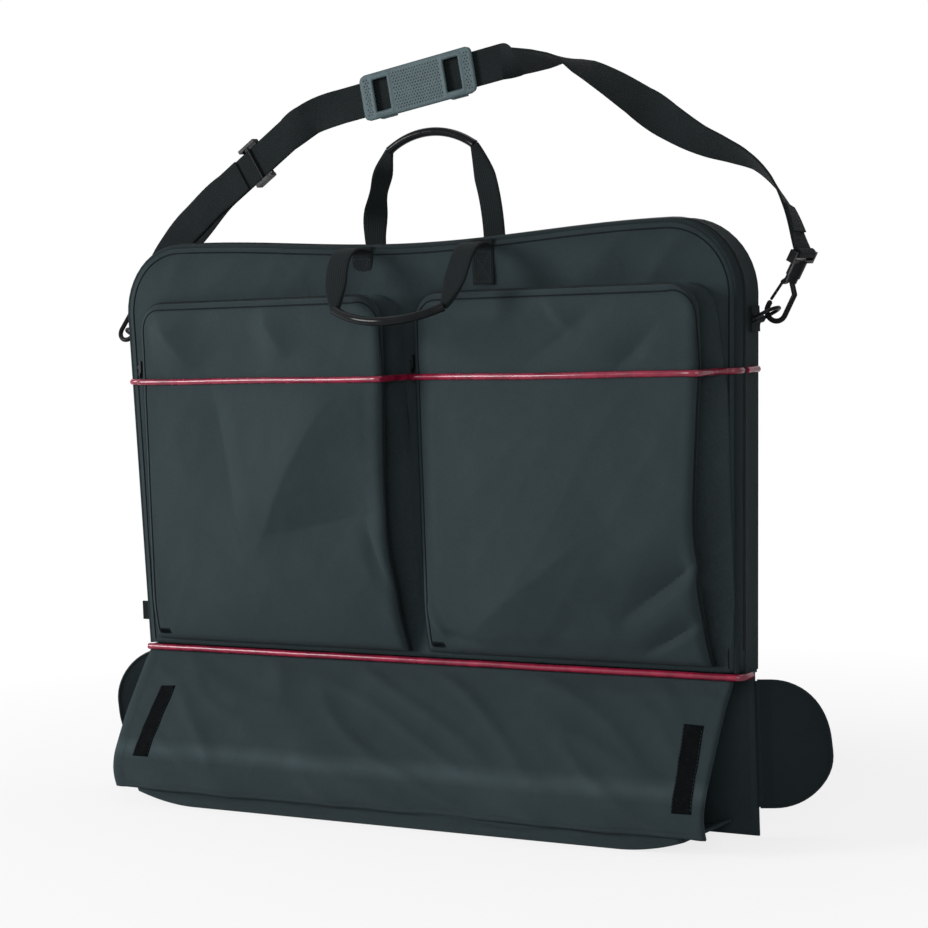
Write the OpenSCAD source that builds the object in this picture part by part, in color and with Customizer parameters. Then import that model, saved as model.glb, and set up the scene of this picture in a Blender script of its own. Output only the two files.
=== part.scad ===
// Flat carry bag cut like a garment bag: a zipped compartment with two bellows pockets, an open
// sleeve along the foot, two grab handles and a shoulder strap on snap hooks.
// X runs along the width, Y towards the back and Z up. The origin is the middle of the base.

/* [Bag] */
// Width across the upper red piping
bag_w = 720; // [640:2:800]
// Width across the lower red piping
foot_w = 702; // [630:2:790]
// Height of the top corners above the floor
bag_h = 587; // [564:1:624]
// How far the top edge sags between its corners
top_sag = 12; // [0:1:20]
// Depth of the zipped compartment
body_d = 46; // [42:1:60]
// Depth of the upper red piping below the top corners
up_drop = 144; // [130:1:180]
// Height of the lower red piping
low_z = 160; // [140:1:180]
// Radius of the top corners
corner_r = 72; // [40:1:90]
// Thickness of the padded fabric panels
sheet = 3; // [2:0.5:4]
// Diameter of the piping cords
cord_d = 6; // [5:0.5:8]
// Gap between parts that move against each other
gap = 0.4; // [0.3:0.1:0.6]

/* [Pockets] */
// Width of each pocket
pocket_w = 329; // [280:1:332]
// Space between the two pockets
pocket_gap = 18; // [16:1:40]
// Sideways place of the middle between the pockets
pocket_x = 4; // [0:1:8]
// Depth of the pockets' tops below the top corners
pocket_drop = 61; // [58:1:85]
// Depth of a pocket at its left edge
pocket_d1 = 14; // [12:1:30]
// Depth of a pocket at its right edge
pocket_d2 = 49; // [30:1:55]
// Depth of a pocket at its lower right corner
pocket_d3 = 16; // [12:1:30]
// Height over a pocket's foot where its right edge begins to draw in
pocket_draw = 122; // [60:1:160]
// Radius of the pockets' top corners
pocket_r = 30; // [10:1:50]
// Distance from a pocket's front face back to its zip
pocket_zip_y = 5; // [5:0.5:7]

/* [Sleeve] */
// Length of the sleeve along the foot
sleeve_w = 694; // [600:2:700]
// How far the sleeve stands out in front of the compartment
sleeve_out = 72; // [60:1:90]
// Height where the cover turns down to the base
knee_z = 56; // [40:1:80]
// Height of the cover's hem over the floor
hem_z = 20; // [12:1:30]
// Length of the base panel
base_w = 640; // [560:2:680]
// Thickness of the stiffened base panel
base_t = 4; // [3:0.5:6]
// Width of the hook-and-loop strips
strip_w = 20; // [16:1:25]
// Thickness of the hook-and-loop strips
strip_t = 1.6; // [1:0.2:2.4]
// Distance between the centres of the strips
strip_span = 626; // [500:2:640]
// Sideways place of the middle between the strips
strip_x = 6; // [-10:1:12]
// Length of the end flaps
flap_l = 68; // [56:1:90]
// Height of the end flaps
flap_h = 120; // [90:1:130]
// Height of the end flaps' lower edge
flap_z = 28; // [24:1:30]
// Radius of the end flaps' corners
flap_r = 55; // [20:1:59]
// Angle that the right end flap lies back from the back panel
flap_back = 25; // [0:1:40]
// Angle that the left end flap swings forward from the back panel
flap_fore = 25; // [0:1:40]

/* [Handles] */
// Width of the handle webbing
web_w = 25; // [20:1:30]
// Thickness of the handle webbing
web_t = 3; // [2:0.5:4]
// Distance between the legs of a handle
handle_span = 142; // [120:1:170]
// Length of a handle from its seam to its outermost point
handle_l = 119; // [108:1:126]
// Diameter of the handle grips
grip_d = 12; // [10:0.5:14]
// Distance between the ends of a grip
grip_span = 114; // [96:1:130]
// Bow of a grip between its ends
grip_bow = 19; // [10:1:24]
// Sideways place of the front handle
front_handle_x = 19; // [-20:1:30]
// Sideways place of the rear handle
rear_handle_x = 1; // [-20:1:30]
// Angle of the fallen front handle from straight down
front_fall = 52; // [46:1:60]
// Height of the sewn handle patches
patch_h = 46; // [36:1:50]

/* [Shoulder strap] */
// Height of the strap's arch over the top corners
strap_rise = 166; // [150:1:190]
// Width of the strap webbing
strap_w = 38; // [30:1:40]
// Thickness of the strap webbing
strap_t = 2.2; // [1.6:0.2:2.6]
// Length of the shoulder pad
pad_l = 137; // [110:1:145]
// Width of the shoulder pad
pad_w = 47; // [45:1:56]
// Thickness of the shoulder pad
pad_t = 4.5; // [4:0.5:7]
// Length of the slots in the pad
pad_slot_l = 18; // [14:1:22]
// Distance from the pad's middle to the middle of a slot
pad_slot_x = 43; // [36:1:46]
// Length of the adjuster along the strap
adjuster_l = 24; // [20:1:30]
// Thickness of the adjuster's bars
adjuster_bar = 3; // [2.5:0.5:4]
// Straight run of the strap beyond each end of the adjuster
adjuster_run = 34; // [32:1:40]
// Straight run of the strap beyond each end of the pad
pad_run = 24; // [24:1:32]
// Length over which the strap settles into a straight run
strap_ease = 5; // [4:1:8]

/* [Rings and hooks] */
// Depth of the ring bars below the top corners
ring_drop = 97; // [90:1:115]
// Inner width of the rings
ring_w = 20; // [18:1:24]
// Length of a ring from its bar to its bow
ring_l = 23; // [20:1:26]
// Wire diameter of the rings
ring_wire = 3.5; // [3:0.5:4.5]
// Angle that the rings stand up from level
ring_up = 25; // [10:1:30]
// Wire diameter of the hooks' jaws
jaw_wire = 5; // [4.5:0.5:6]
// Inner radius of the hooks' jaws
jaw_r = 7; // [6.5:0.5:8]
// Height of a ring's bow over the lowest point of its hook's jaw
jaw_seat = 13; // [11:0.5:15]
// Length of a hook from its jaw to its strap bar
hook_l = 69; // [64:1:76]
// Lean of the right hook from level
hook_lean = 61; // [55:1:75]

/* [Zips] */
// Distance of the main zip behind the front panel
zip_y = 14; // [13:0.5:15]
// Width of one row of zip teeth
zip_row = 2.5; // [2:0.25:3]
// Height of the zip teeth over the fabric
zip_rise = 1; // [0.6:0.1:1.4]
// Gap along the closed zips
zip_gap = 0.6; // [0.4:0.1:0.8]
// Length of the zip sliders
slider_l = 13; // [10:0.5:16]
// Length of the main zip's pull
pull_l = 22; // [18:1:30]
// Length of the pocket zips' pulls
pocket_pull_l = 12; // [10:1:15]
// Width of the zip pulls
pull_w = 5; // [4.5:0.5:6]
// Depth of the main slider's parked place below the top corners
park_drop = 95; // [88:1:115]

/* [Hidden] */
$fn = 48;

cord_r = cord_d / 2;
bag_d = body_d + sleeve_out;
y_back = bag_d / 2;
y_front = y_back - body_d;
y_zip = y_front + zip_y;
z_shoulder = bag_h - corner_r;
up_z = bag_h - up_drop;
pocket_top = bag_h - pocket_drop;
ring_z = bag_h - ring_drop;
main_park_z = bag_h - park_drop;
hinge_y = y_front + sheet / 2;
hinge_z = low_z + gap + sheet / 2;
slider_w = 2 * zip_row + 4;
slider_h = zip_rise + gap + 1.6;
bail_z = slider_h + 2.4;

black = [0.10, 0.11, 0.13];
dark = [0.06, 0.06, 0.07];
red = [0.72, 0.05, 0.10];
steel = [0.62, 0.63, 0.65];
pad_grey = [0.36, 0.40, 0.46];

// Half of the bag's width at a height, between the two red pipings and above
function half_w(z) = (foot_w + (bag_w - foot_w) * (z - low_z) / (up_z - low_z)) / 2;

// Middle of a top corner, and the sag of the top edge between the two
corner_x = half_w(z_shoulder) - corner_r;
function sag(x) = abs(x) < corner_x ? top_sag * (1 + cos(180 * x / corner_x)) / 2 : 0;
sag_steps = 12;
sag_at = [for (i = [sag_steps - 1 : -1 : 1 - sag_steps]) corner_x * i / sag_steps];

function unit(v) = v / norm(v);
function turn(v, a, ang) = v * cos(ang) + cross(a, v) * sin(ang) + a * (a * v) * (1 - cos(ang));

// A solid of a shape drawn in X and Z, between two depths
module prism_y(y0, y1) {
    translate([0, y1, 0]) rotate([90, 0, 0]) linear_extrude(y1 - y0) children();
}

// Children drawn along x, y and z, set on an origin with its first two directions given
module on_frame(o, a, b) {
    n = cross(a, b);
    multmatrix([[a[0], b[0], n[0], o[0]], [a[1], b[1], n[1], o[1]], [a[2], b[2], n[2], o[2]],
                [0, 0, 0, 1]]) children();
}

// A round bar between two points
module rod(p, q, r) {
    d = q - p;
    translate(p) rotate([0, acos(d[2] / norm(d)), atan2(d[1], d[0])]) cylinder(r = r, h = norm(d));
}

// A cord that runs straight from point to point
module cord(pts, r) {
    for (i = [0 : len(pts) - 2]) rod(pts[i], pts[i + 1], r);
    for (i = [1 : 1 : len(pts) - 2]) translate(pts[i]) sphere(r = r);
}

// A cord along a path that lies in one plane, mitred where the path turns
function miter(pts, i, up) = let (n = len(pts) - 1, a = unit(pts[max(i, 1)] - pts[max(i, 1) - 1]),
    b = unit(pts[min(i + 1, n)] - pts[min(i, n - 1)]), t = unit(a + b)) cross(t, up) / (t * a);
module flat_cord(pts, r, up, sides = 12) {
    n = len(pts);
    ends = [for (k = [0, n - 1]) [for (j = [0 : sides - 1]) k * sides + j]];
    polyhedron([for (i = [0 : n - 1]) for (j = [0 : sides - 1]) let (a = 360 * (j + 0.5) / sides)
            pts[i] + r * (cos(a) * miter(pts, i, up) + sin(a) * up)],
        concat([ends[0]], [[for (j = [sides - 1 : -1 : 0]) ends[1][j]]],
            [for (i = [0 : n - 2]) for (j = [0 : sides - 1])
                let (a = i * sides + j, b = i * sides + (j + 1) % sides)
                each [[a, a + sides, b], [b, a + sides, b + sides]]]));
}

// The bag's outline in X and Z, drawn in by an inset and cut off at a height
module body_shape(inset, z0) {
    polygon(concat([[half_w(z0) - inset, z0], [half_w(z_shoulder) - inset, z_shoulder],
                    [corner_x, bag_h - inset]], [for (x = sag_at) [x, bag_h - inset - sag(x)]],
                   [[-corner_x, bag_h - inset], [-half_w(z_shoulder) + inset, z_shoulder],
                    [-half_w(z0) + inset, z0]]));
    for (s = [-1, 1]) translate([s * corner_x, z_shoulder]) circle(r = corner_r - inset, $fn = 96);
}

// A band of the outline's edge between two depths
module edge_band(y0, y1, out, inset, z0) {
    difference() {
        prism_y(y0, y1) body_shape(-out, z0);
        prism_y(y0 - 1, y1 + 1) body_shape(inset, z0 - 9);
    }
}

// The piping cord that follows the outline at one depth, a little proud of its round corners
module edge_cord(y, z0) {
    r = corner_r - cord_r + 0.12;
    x0 = half_w(z0) - cord_r;
    flat_cord(concat([[x0, y, z0]],
        [for (b = [0 : 7.5 : 90]) [corner_x + r * cos(b), y, z_shoulder + r * sin(b)]],
        [for (x = sag_at) [x, y, z_shoulder + r - sag(x)]],
        [for (b = [90 : -7.5 : 0]) [-corner_x - r * cos(b), y, z_shoulder + r * sin(b)]],
        [[-x0, y, z0]]), cord_r, [0, 1, 0]);
}

// Root: back, floor and sleeve

module back_panel() {
    color(black) prism_y(y_back - sheet, y_back) {
        body_shape(cord_d, low_z);
        polygon([[sleeve_w / 2, 0], [sleeve_w / 2, low_z - sheet],
                 [half_w(low_z) - cord_d, low_z + 1],
                 [-half_w(low_z) + cord_d, low_z + 1], [-sleeve_w / 2, low_z - sheet],
                 [-sleeve_w / 2, 0]]);
    }
}

module gusset_back() {
    color(black) edge_band(y_zip + zip_gap / 2, y_back - cord_d, 0, sheet, low_z);
}

module zip_row_back() {
    color(dark) edge_band(y_zip + zip_gap / 2, y_zip + zip_gap / 2 + zip_row, zip_rise, 0,
                          low_z + 20);
}

module piping_back() {
    color(black) edge_cord(y_back - cord_r, low_z);
}

module compartment_floor() {
    color(black) translate([-foot_w / 2, y_front - 1, low_z - sheet])
        cube([foot_w, body_d - sheet + 1, sheet]);
}

module piping_lower() {
    color(red) rod([-foot_w / 2, y_front - 1 - cord_r, low_z - 1],
                   [foot_w / 2, y_front - 1 - cord_r, low_z - 1], cord_r);
}

// Middle line of the sleeve's cover in Y and Z, from under the lower piping down to its hem
cover_top = [y_front - 1 - sheet / 2, low_z - 1 - cord_r - sheet / 2];
cover_knee = [-bag_d / 2 + sheet / 2, knee_z];
cover_steps = 10;
function cover_at(t) =
    cover_top * pow(1 - t, 2) + 2 * t * (1 - t) * ((cover_top + cover_knee) / 2 + [-9, 10])
    + cover_knee * t * t;
cover_line = concat([for (i = [0 : cover_steps]) cover_at(i / cover_steps)],
                    [[cover_knee[0], hem_z]]);
function line_dir(pts, i) = unit(pts[min(i + 1, len(pts) - 1)] - pts[max(i - 1, 0)]);
function beside(pts, i, d) = pts[i] + d * [line_dir(pts, i)[1], -line_dir(pts, i)[0]];

// A band beside the cover's middle line, drawn in Y and Z
module cover_band(first, last, d0, d1) {
    polygon(concat([for (i = [first : last]) beside(cover_line, i, d0)],
                   [for (i = [last : -1 : first]) beside(cover_line, i, d1)]));
}

// A solid of a shape drawn in Y and Z, between two sideways places
module prism_x(x0, x1) {
    translate([x0, 0, 0]) rotate([90, 0, 90]) linear_extrude(x1 - x0) children();
}

module sleeve_cover() {
    color(black) prism_x(-sleeve_w / 2, sleeve_w / 2)
        cover_band(0, len(cover_line) - 1, -sheet / 2, sheet / 2);
}

module strip(side) {
    x = strip_x + side * strip_span / 2;
    color(dark) prism_x(x - strip_w / 2, x + strip_w / 2)
        cover_band(4, cover_steps, sheet / 2, sheet / 2 + strip_t);
}

// Stiffened base, turned up in front to the cover's hem
module sleeve_base() {
    color(black) translate([-base_w / 2, -bag_d / 2, 0]) {
        cube([base_w, bag_d - sheet, base_t]);
        cube([base_w, sheet, hem_z]);
    }
}

module end_flap(side) {
    r = flap_r;
    color(black) translate([side * (sleeve_w / 2 + gap + sheet / 2), y_back - sheet / 2, 0])
        rotate([0, 0, side > 0 ? flap_back : flap_fore]) {
        translate([0, 0, flap_z]) cylinder(d = sheet, h = flap_h);
        prism_y(-sheet / 2, sheet / 2) intersection() {
            translate([side > 0 ? 0 : -flap_l, flap_z]) square([flap_l, flap_h]);
            hull() {
                translate([-web_w / 2, flap_z]) square([web_w, flap_h]);
                for (z = [flap_z + r, flap_z + flap_h - r]) translate([side * (flap_l - r), z])
                    circle(r = r);
            }
        }
    }
}

// The upper piping goes round the back half of the gusset, up to the zip
module piping_upper_rear(side) {
    x = side * (half_w(up_z) + cord_r);
    color(red) rod([x, y_zip + slider_w / 2 + gap, up_z], [x, y_back - cord_r, up_z], cord_r);
}

module side_tab() {
    z = low_z + 33;
    color(dark) translate([-half_w(z) - 11, y_zip + 14, z - 10]) cube([10.6, sheet, 20]);
}

// Front cover: panel, pockets and piping, hinged along its lower edge

module front_panel() {
    color(black) {
        prism_y(y_front, y_front + sheet) body_shape(cord_d, hinge_z);
        rod([-half_w(hinge_z) + cord_d, hinge_y, hinge_z], [half_w(hinge_z) - cord_d, hinge_y, hinge_z],
            sheet / 2);
    }
}

module gusset_front() {
    color(black) edge_band(y_front + cord_d, y_zip - zip_gap / 2, 0, sheet, hinge_z + sheet);
}

module zip_row_front() {
    color(dark) edge_band(y_zip - zip_gap / 2 - zip_row, y_zip - zip_gap / 2, zip_rise, 0, low_z + 20);
}

module piping_front() {
    color(black) edge_cord(y_front + cord_r, hinge_z + sheet);
}

pocket_z = low_z + 8;
pocket_tilt = atan((pocket_d2 - pocket_d1) / pocket_w);
function pocket_x0(side) = pocket_x + (side < 0 ? -pocket_gap / 2 - pocket_w : pocket_gap / 2);
// Place on a pocket's front face at a distance from its left edge, stood off by a distance
function pocket_face(side, d, off) =
    [pocket_x0(side) + d, y_front - pocket_d1 - d * tan(pocket_tilt) - off / cos(pocket_tilt), up_z];

// The upper piping goes from the zip on one side over both pockets to the zip on the other
module piping_upper() {
    x = half_w(up_z) + cord_r;
    y = y_front - cord_r;
    yz = y_zip - slider_w / 2 - gap;
    color(red) flat_cord(concat([[-x, yz, up_z], [-x, y, up_z]],
        [for (s = [-1, 1]) each [[pocket_x0(s) - cord_r, y, up_z], pocket_face(s, -cord_r, cord_r),
            pocket_face(s, pocket_w + cord_r, cord_r),
            [pocket_x0(s) + pocket_w + cord_r, y, up_z]]],
        [[x, y, up_z], [x, yz, up_z]]), cord_r, [0, 0, 1]);
}

// Pocket outline in X and Z, with round top corners
module pocket_shape(side, inset) {
    x0 = pocket_x0(side) + inset;
    x1 = pocket_x0(side) + pocket_w - inset;
    z1 = pocket_top - inset;
    r = max(pocket_r - inset, 1);
    polygon([[x0, pocket_z + inset], [x1, pocket_z + inset], [x1, z1 - r], [x1 - r, z1], [x0 + r, z1],
             [x0, z1 - r]]);
    for (x = [x0 + r, x1 - r]) translate([x, z1 - r]) circle(r = r, $fn = 64);
}

// Everything behind a pocket's slanted front face, from one depth behind it to another
module behind_face(side, d0, d1) {
    translate([pocket_x0(side), y_front - pocket_d1, 0]) rotate([0, 0, -pocket_tilt])
        translate([-pocket_w / 5, d0, pocket_z - pocket_d2]) cube([pocket_w * 1.4, d1 - d0, bag_h]);
}

// Everything behind the triangle by which a pocket's front draws in towards its lower right corner
module behind_foot(side, d) {
    o = [pocket_x0(side), y_front - pocket_d1, pocket_z];
    a = unit([pocket_w, pocket_d1 - pocket_d3, 0]);
    v = [pocket_w, pocket_d1 - pocket_d2, pocket_draw];
    on_frame(o, a, unit(v - a * (a * v))) translate([-bag_w, -bag_w, -bag_w - d])
        cube([2 * bag_w, 2 * bag_w, bag_w]);
}

module pocket(side) {
    teeth = [pocket_zip_y - zip_gap / 2 - zip_row, pocket_zip_y + zip_gap / 2];
    color(black) difference() {
        intersection() {
            prism_y(y_front - 90, y_front) pocket_shape(side, 0);
            behind_face(side, 0, bag_d);
            behind_foot(side, 0);
        }
        intersection() {
            prism_y(y_front - 90, y_front + 9) pocket_shape(side, sheet);
            behind_face(side, sheet, bag_d);
            behind_foot(side, sheet);
        }
    }
    // Two rows of teeth round the mouth, above the upper piping
    color(dark) for (d = teeth) intersection() {
        difference() {
            prism_y(y_front - 90, y_front) pocket_shape(side, -zip_rise);
            prism_y(y_front - 91, y_front + 1) pocket_shape(side, 0);
        }
        behind_face(side, d, d + zip_row);
        translate([-bag_w, -bag_d, up_z + cord_r + gap]) cube([2 * bag_w, 2 * bag_d, bag_h]);
    }
}

// Handles: webbing legs that fold into a round grip

handle_y = web_t / 2 + gap;
handle_z = bag_h - cord_d - top_sag;
patch_t = web_t + 0.4;

module patch(x, back) {
    y0 = back ? y_back : y_front - patch_t;
    color(dark) translate([x - web_w / 2, y0, bag_h - sag(x) - patch_h])
        cube([web_w, patch_t, patch_h - 2]);
}

// A grip bows on one wide arc, so its end faces lean outwards by half of that arc
grip_r = (grip_span * grip_span / 4 + grip_bow * grip_bow) / (2 * grip_bow);
grip_a = asin(grip_span / 2 / grip_r);

// A handle in its own frame: seam along x at the origin, grip at the far end along z.
// Each leg is flat webbing that draws in and gathers to the end of the grip.
module handle_web() {
    z1 = handle_l - grip_d / 2 - grip_bow;
    zm = z1 * 0.66;
    xm = handle_span / 2 + (grip_span - handle_span) / 2 * 0.66;
    for (s = [-1, 1]) {
        hull() {
            translate([s * handle_span / 2, 0, 0]) rotate([0, 90, 0])
                cylinder(d = web_t, h = web_w, center = true);
            translate([s * xm - web_w / 2, -web_t / 2, zm]) cube([web_w, web_t, 0.1]);
        }
        hull() {
            translate([s * xm - web_w / 2, -web_t / 2, zm]) cube([web_w, web_t, 0.1]);
            translate([s * grip_span / 2, 0, z1]) rotate([0, s * (90 + grip_a), 0])
                cylinder(d = grip_d - 2, h = 0.1, $fn = 32);
        }
    }
}

module handle_grip() {
    translate([0, 0, handle_l - grip_d / 2 - grip_r]) rotate([90, 0, 0]) rotate([0, 0, 90 - grip_a])
        rotate_extrude(angle = 2 * grip_a, $fn = 128) translate([grip_r, 0]) circle(d = grip_d, $fn = 32);
}

// The front handle has fallen forward over the pockets, the rear one stands up
module front_handle_place() {
    translate([front_handle_x, y_front - patch_t - handle_y, handle_z]) rotate([180 - front_fall, 0, 0])
        children();
}

module rear_handle_place() {
    translate([rear_handle_x, y_back + patch_t + handle_y, handle_z]) children();
}

// Rings on the sides and the snap hooks that hold them

ring_x = half_w(ring_z) + ring_wire / 2 + 2.6;
ring_y = y_zip + slider_w / 2 + gap + ring_w / 2 + ring_wire;
tab_w = ring_w - 1;
bow = [ring_x + ring_l * cos(ring_up), ring_y, ring_z + ring_l * sin(ring_up)];
jaw_c = jaw_r + jaw_wire / 2;

module ring_tab(side) {
    r = ring_wire / 2 + 2;
    color(dark) difference() {
        union() {
            translate([side * ring_x, ring_y - tab_w / 2, ring_z]) rotate([-90, 0, 0])
                cylinder(r = r, h = tab_w);
            translate([side * (max(half_w(ring_z + 12), half_w(ring_z - 12)) + 1.1) - 1,
                       ring_y - tab_w / 2, ring_z - 12])
                cube([2, tab_w, 24]);
        }
        translate([side * ring_x, ring_y - tab_w, ring_z]) rotate([-90, 0, 0])
            cylinder(r = ring_wire / 2 + 0.35, h = 2 * tab_w);
    }
}

module ring(side) {
    w = (ring_w + ring_wire) / 2;
    color(dark) translate([side * ring_x, ring_y, ring_z]) mirror([side > 0 ? 0 : 1, 0, 0])
        rotate([0, -ring_up, 0]) {
        cord([[ring_l - w, w, 0], [0, w, 0], [0, -w, 0], [ring_l - w, -w, 0]], ring_wire / 2);
        translate([ring_l - w, 0, 0]) rotate([0, 0, -90]) rotate_extrude(angle = 180)
            translate([w, 0]) circle(d = ring_wire);
    }
}

// Direction of each hook from its jaw to the strap, and sideways towards its spine
hook_up = [unit([0.36, 0.38, 0.86]), [cos(hook_lean), 0, sin(hook_lean)]];
function side_i(side) = side < 0 ? 0 : 1;
// Lowest point of a jaw's middle line, with the ring's bow inside the jaw
function hook_foot(side) = [side * bow[0], bow[1], bow[2]] - jaw_seat * hook_up[side_i(side)];
function hook_spine(side) = unit([side, 0, 0] - hook_up[side_i(side)] * (hook_up[side_i(side)][0] * side));
function hook_point(side, h) = hook_foot(side) + hook_up[side_i(side)] * h;

// Children drawn with z along the hook and x towards its spine
module on_hook(side) {
    on_frame(hook_foot(side), hook_spine(side), cross(hook_up[side_i(side)], hook_spine(side)))
        children();
}

neck_z = hook_l - 29;
swivel_z = neck_z + 5;
bar_r = 2.2;

// Jaw: a round hook on a collar, with a stem whose head turns inside the swivel
module jaw(side) {
    color(dark) on_hook(side) {
        translate([0, 0, jaw_c]) rotate([90, 0, 0]) rotate([0, 0, 180])
            rotate_extrude(angle = 180) translate([jaw_c, 0]) circle(d = jaw_wire);
        cord([[jaw_c, 0, jaw_c], [jaw_c, 0, neck_z - 9], [0, 0, neck_z + 2]], jaw_wire / 2);
        cord([[-jaw_c, 0, jaw_c], [-jaw_c, 0, jaw_c + 3.5]], jaw_wire / 2);
        translate([-jaw_c, 0, jaw_c + 3.5]) sphere(d = jaw_wire);
        translate([0, 0, neck_z]) cylinder(r = 6, h = 5);
        translate([0, 0, swivel_z]) cylinder(r = 2.6, h = 9);
        translate([0, 0, swivel_z + 6.6]) cylinder(r = 4, h = 2.4);
        // Fork that carries the gate's pin
        for (v = [-1, 1]) hull() {
            translate([-5, v * 2.9, neck_z - 3]) rotate([90, 0, 0])
                cylinder(r = 2.2, h = 1.8, center = true, $fn = 24);
            translate([-2, v * 2.9, neck_z + 2]) rotate([90, 0, 0])
                cylinder(r = 2.2, h = 1.8, center = true, $fn = 24);
        }
        rod([-5, -3.4, neck_z - 3], [-5, 3.4, neck_z - 3], 1);
    }
}

// Gate: a thin sprung lever from the fork down to the jaw's tip
gate_pivot = [-5, 0, neck_z - 3];
module gate(side) {
    tip_z = jaw_c + 3.5 + jaw_wire / 2 + gap + 1.4;
    color(dark) on_hook(side) difference() {
        union() {
            translate(gate_pivot) rotate([90, 0, 0]) cylinder(r = 2.3, h = 3.2, center = true);
            rod(gate_pivot + [-1.6, 0, -1.2], [-jaw_c, 0, tip_z], 1.4);
            translate([-jaw_c, 0, tip_z]) sphere(r = 1.4);
        }
        translate(gate_pivot) rotate([90, 0, 0]) cylinder(r = 1.35, h = 9, center = true);
    }
}

// Children drawn with z along the hook and x along the width of the strap where it ends
module on_eye(side) {
    up = hook_up[side_i(side)];
    w = strap_side(side < 0 ? 0 : strap_n);
    x = unit(w - up * (w * up));
    on_frame(hook_foot(side), x, cross(up, x)) children();
}

// Swivel with the flat eye that the strap is sewn round
module hook_base(side) {
    z0 = swivel_z + gap;
    zb = hook_l;
    color(dark) on_eye(side) {
        difference() {
            translate([0, 0, z0]) cylinder(r = 7, h = zb - 9 - z0 + 2);
            translate([0, 0, z0 - 1]) cylinder(r = 3, h = 8);
            translate([0, 0, swivel_z + 6.6 - gap]) cylinder(r = 4.4, h = 2.4 + 2 * gap);
        }
        difference() {
            translate([-strap_w / 2 - 4, -3.5, zb - 9]) cube([strap_w + 8, 7, 9 + bar_r]);
            translate([-strap_w / 2 - 0.6, -5, zb - 6]) cube([strap_w + 1.2, 10, 20]);
        }
        rod([-strap_w / 2 - 2, 0, zb], [strap_w / 2 + 2, 0, zb], bar_r);
    }
}

// Shoulder strap: one length of webbing through chosen points, turned about its own run

loop_r = bar_r + 0.3 + strap_t;
strap_start = hook_point(-1, hook_l + loop_r + 0.05);
// A place of the strap: a share of half the bag's width, a share of the strap's width behind its
// back and a share of the arch's rise over the top corners
function arch(x, y, z) = [x * bag_w / 2, y_back + y * strap_w, bag_h + z * strap_rise];
strap_last = arch(1.108, (ring_y - y_back) / strap_w, 0.03);
strap_end = hook_point(1, hook_l) + (loop_r + 0.05) * unit(strap_last - hook_point(1, hook_l));
pad_mid = arch(-0.011, -0.105, 0.892);
pad_dir = unit([1, 0, 0.154]);
adjust_mid = arch(-0.614, 0.237, 0.5);
adjust_dir = unit([1, -0.081, 0.6]);
// Rows of the route along a straight run, with a row before and after it
function straight(mid, dir, half) =
    [for (d = [-half - strap_ease, -half, half, half + strap_ease]) [mid + d * dir, 0]];
// Each row is a point and the turn of the width about the run, 0 when the face is to the front
route = concat(
    [[strap_start, 0], [strap_start + hook_up[0] * hook_l * 0.217, 0], [arch(-0.933, 0.474, -0.006), 0],
     [arch(-0.856, 0.421, 0.127), 0]],
    straight(adjust_mid, adjust_dir, adjuster_l / 2 + adjuster_run),
    straight(pad_mid, pad_dir, pad_l / 2 + pad_run),
    [[arch(0.31, -0.125, 0.981), 30], [arch(0.384, -0.14, 0.973), 55], [arch(0.453, -0.158, 0.964), 84],
     [arch(0.517, -0.184, 0.908), 122], [arch(0.589, -0.184, 0.822), 144], [arch(0.681, -0.211, 0.692), 170],
     [arch(0.775, -0.237, 0.554), 181],
     [arch(0.869, -0.263, 0.434), 190], [arch(0.939, -0.289, 0.367), 205], [arch(1.006, -0.316, 0.289), 228],
     [arch(1.064, -0.329, 0.169), 254], [strap_last, 268], [strap_end, 270]]);
route_steps = 3;

function row(i) = route[min(max(i, 0), len(route) - 1)];
// Direction of the strap at a point of the route, which follows the shorter of its two spans more
function run_at(i) = i == 0 ? hook_up[0] : i == len(route) - 1 ? unit(strap_end - strap_last)
    : let (a = row(i)[0] - row(i - 1)[0], b = row(i + 1)[0] - row(i)[0])
        unit(a * norm(b) / norm(a) + b * norm(a) / norm(b));
// Smooth curve through the route's points
function route_at(i, t) = let (p = row(i)[0], q = row(i + 1)[0], l = norm(q - p))
    p * (2 * t * t * t - 3 * t * t + 1) + run_at(i) * l * (t * t * t - 2 * t * t + t)
    + q * (3 * t * t - 2 * t * t * t) + run_at(i + 1) * l * (t * t * t - t * t);
function turn_at(i, t) = row(i)[1] + (row(i + 1)[1] - row(i)[1]) * t;
strap_n = (len(route) - 1) * route_steps;
function strap_p(k) = let (i = min(floor(k / route_steps), len(route) - 2))
    route_at(i, k / route_steps - i);
function strap_a(k) = let (i = min(floor(k / route_steps), len(route) - 2))
    turn_at(i, k / route_steps - i);
function strap_dir(k) = k == 0 ? hook_up[0] : k == strap_n ? unit(strap_end - strap_last)
    : unit(strap_p(k + 1) - strap_p(k - 1));
function strap_side(k) = let (t = strap_dir(k)) turn(unit([-t[2], 0, t[0]]), t, strap_a(k));
// Corners of the webbing's section, between two heights over its middle face
function strap_ring(k, h0, h1) = let (p = strap_p(k), w = strap_side(k), n = cross(strap_dir(k), w))
    [p - w * strap_w / 2 + n * h0, p + w * strap_w / 2 + n * h0,
     p + w * strap_w / 2 + n * h1, p - w * strap_w / 2 + n * h1];

// Webbing between two steps of the route
module webbing(first, last, h0, h1) {
    rings = [for (k = [first : last]) strap_ring(k, h0, h1)];
    n = len(rings);
    polyhedron([for (r = rings) each r],
        concat([[0, 1, 2], [0, 2, 3]],
            [for (i = [0 : n - 2]) for (j = [0 : 3]) let (a = 4 * i + j, b = 4 * i + (j + 1) % 4)
                each [[a, a + 4, b], [b, a + 4, b + 4]]],
            [[4 * n - 4, 4 * n - 2, 4 * n - 3], [4 * n - 4, 4 * n - 1, 4 * n - 2]]));
}

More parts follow.
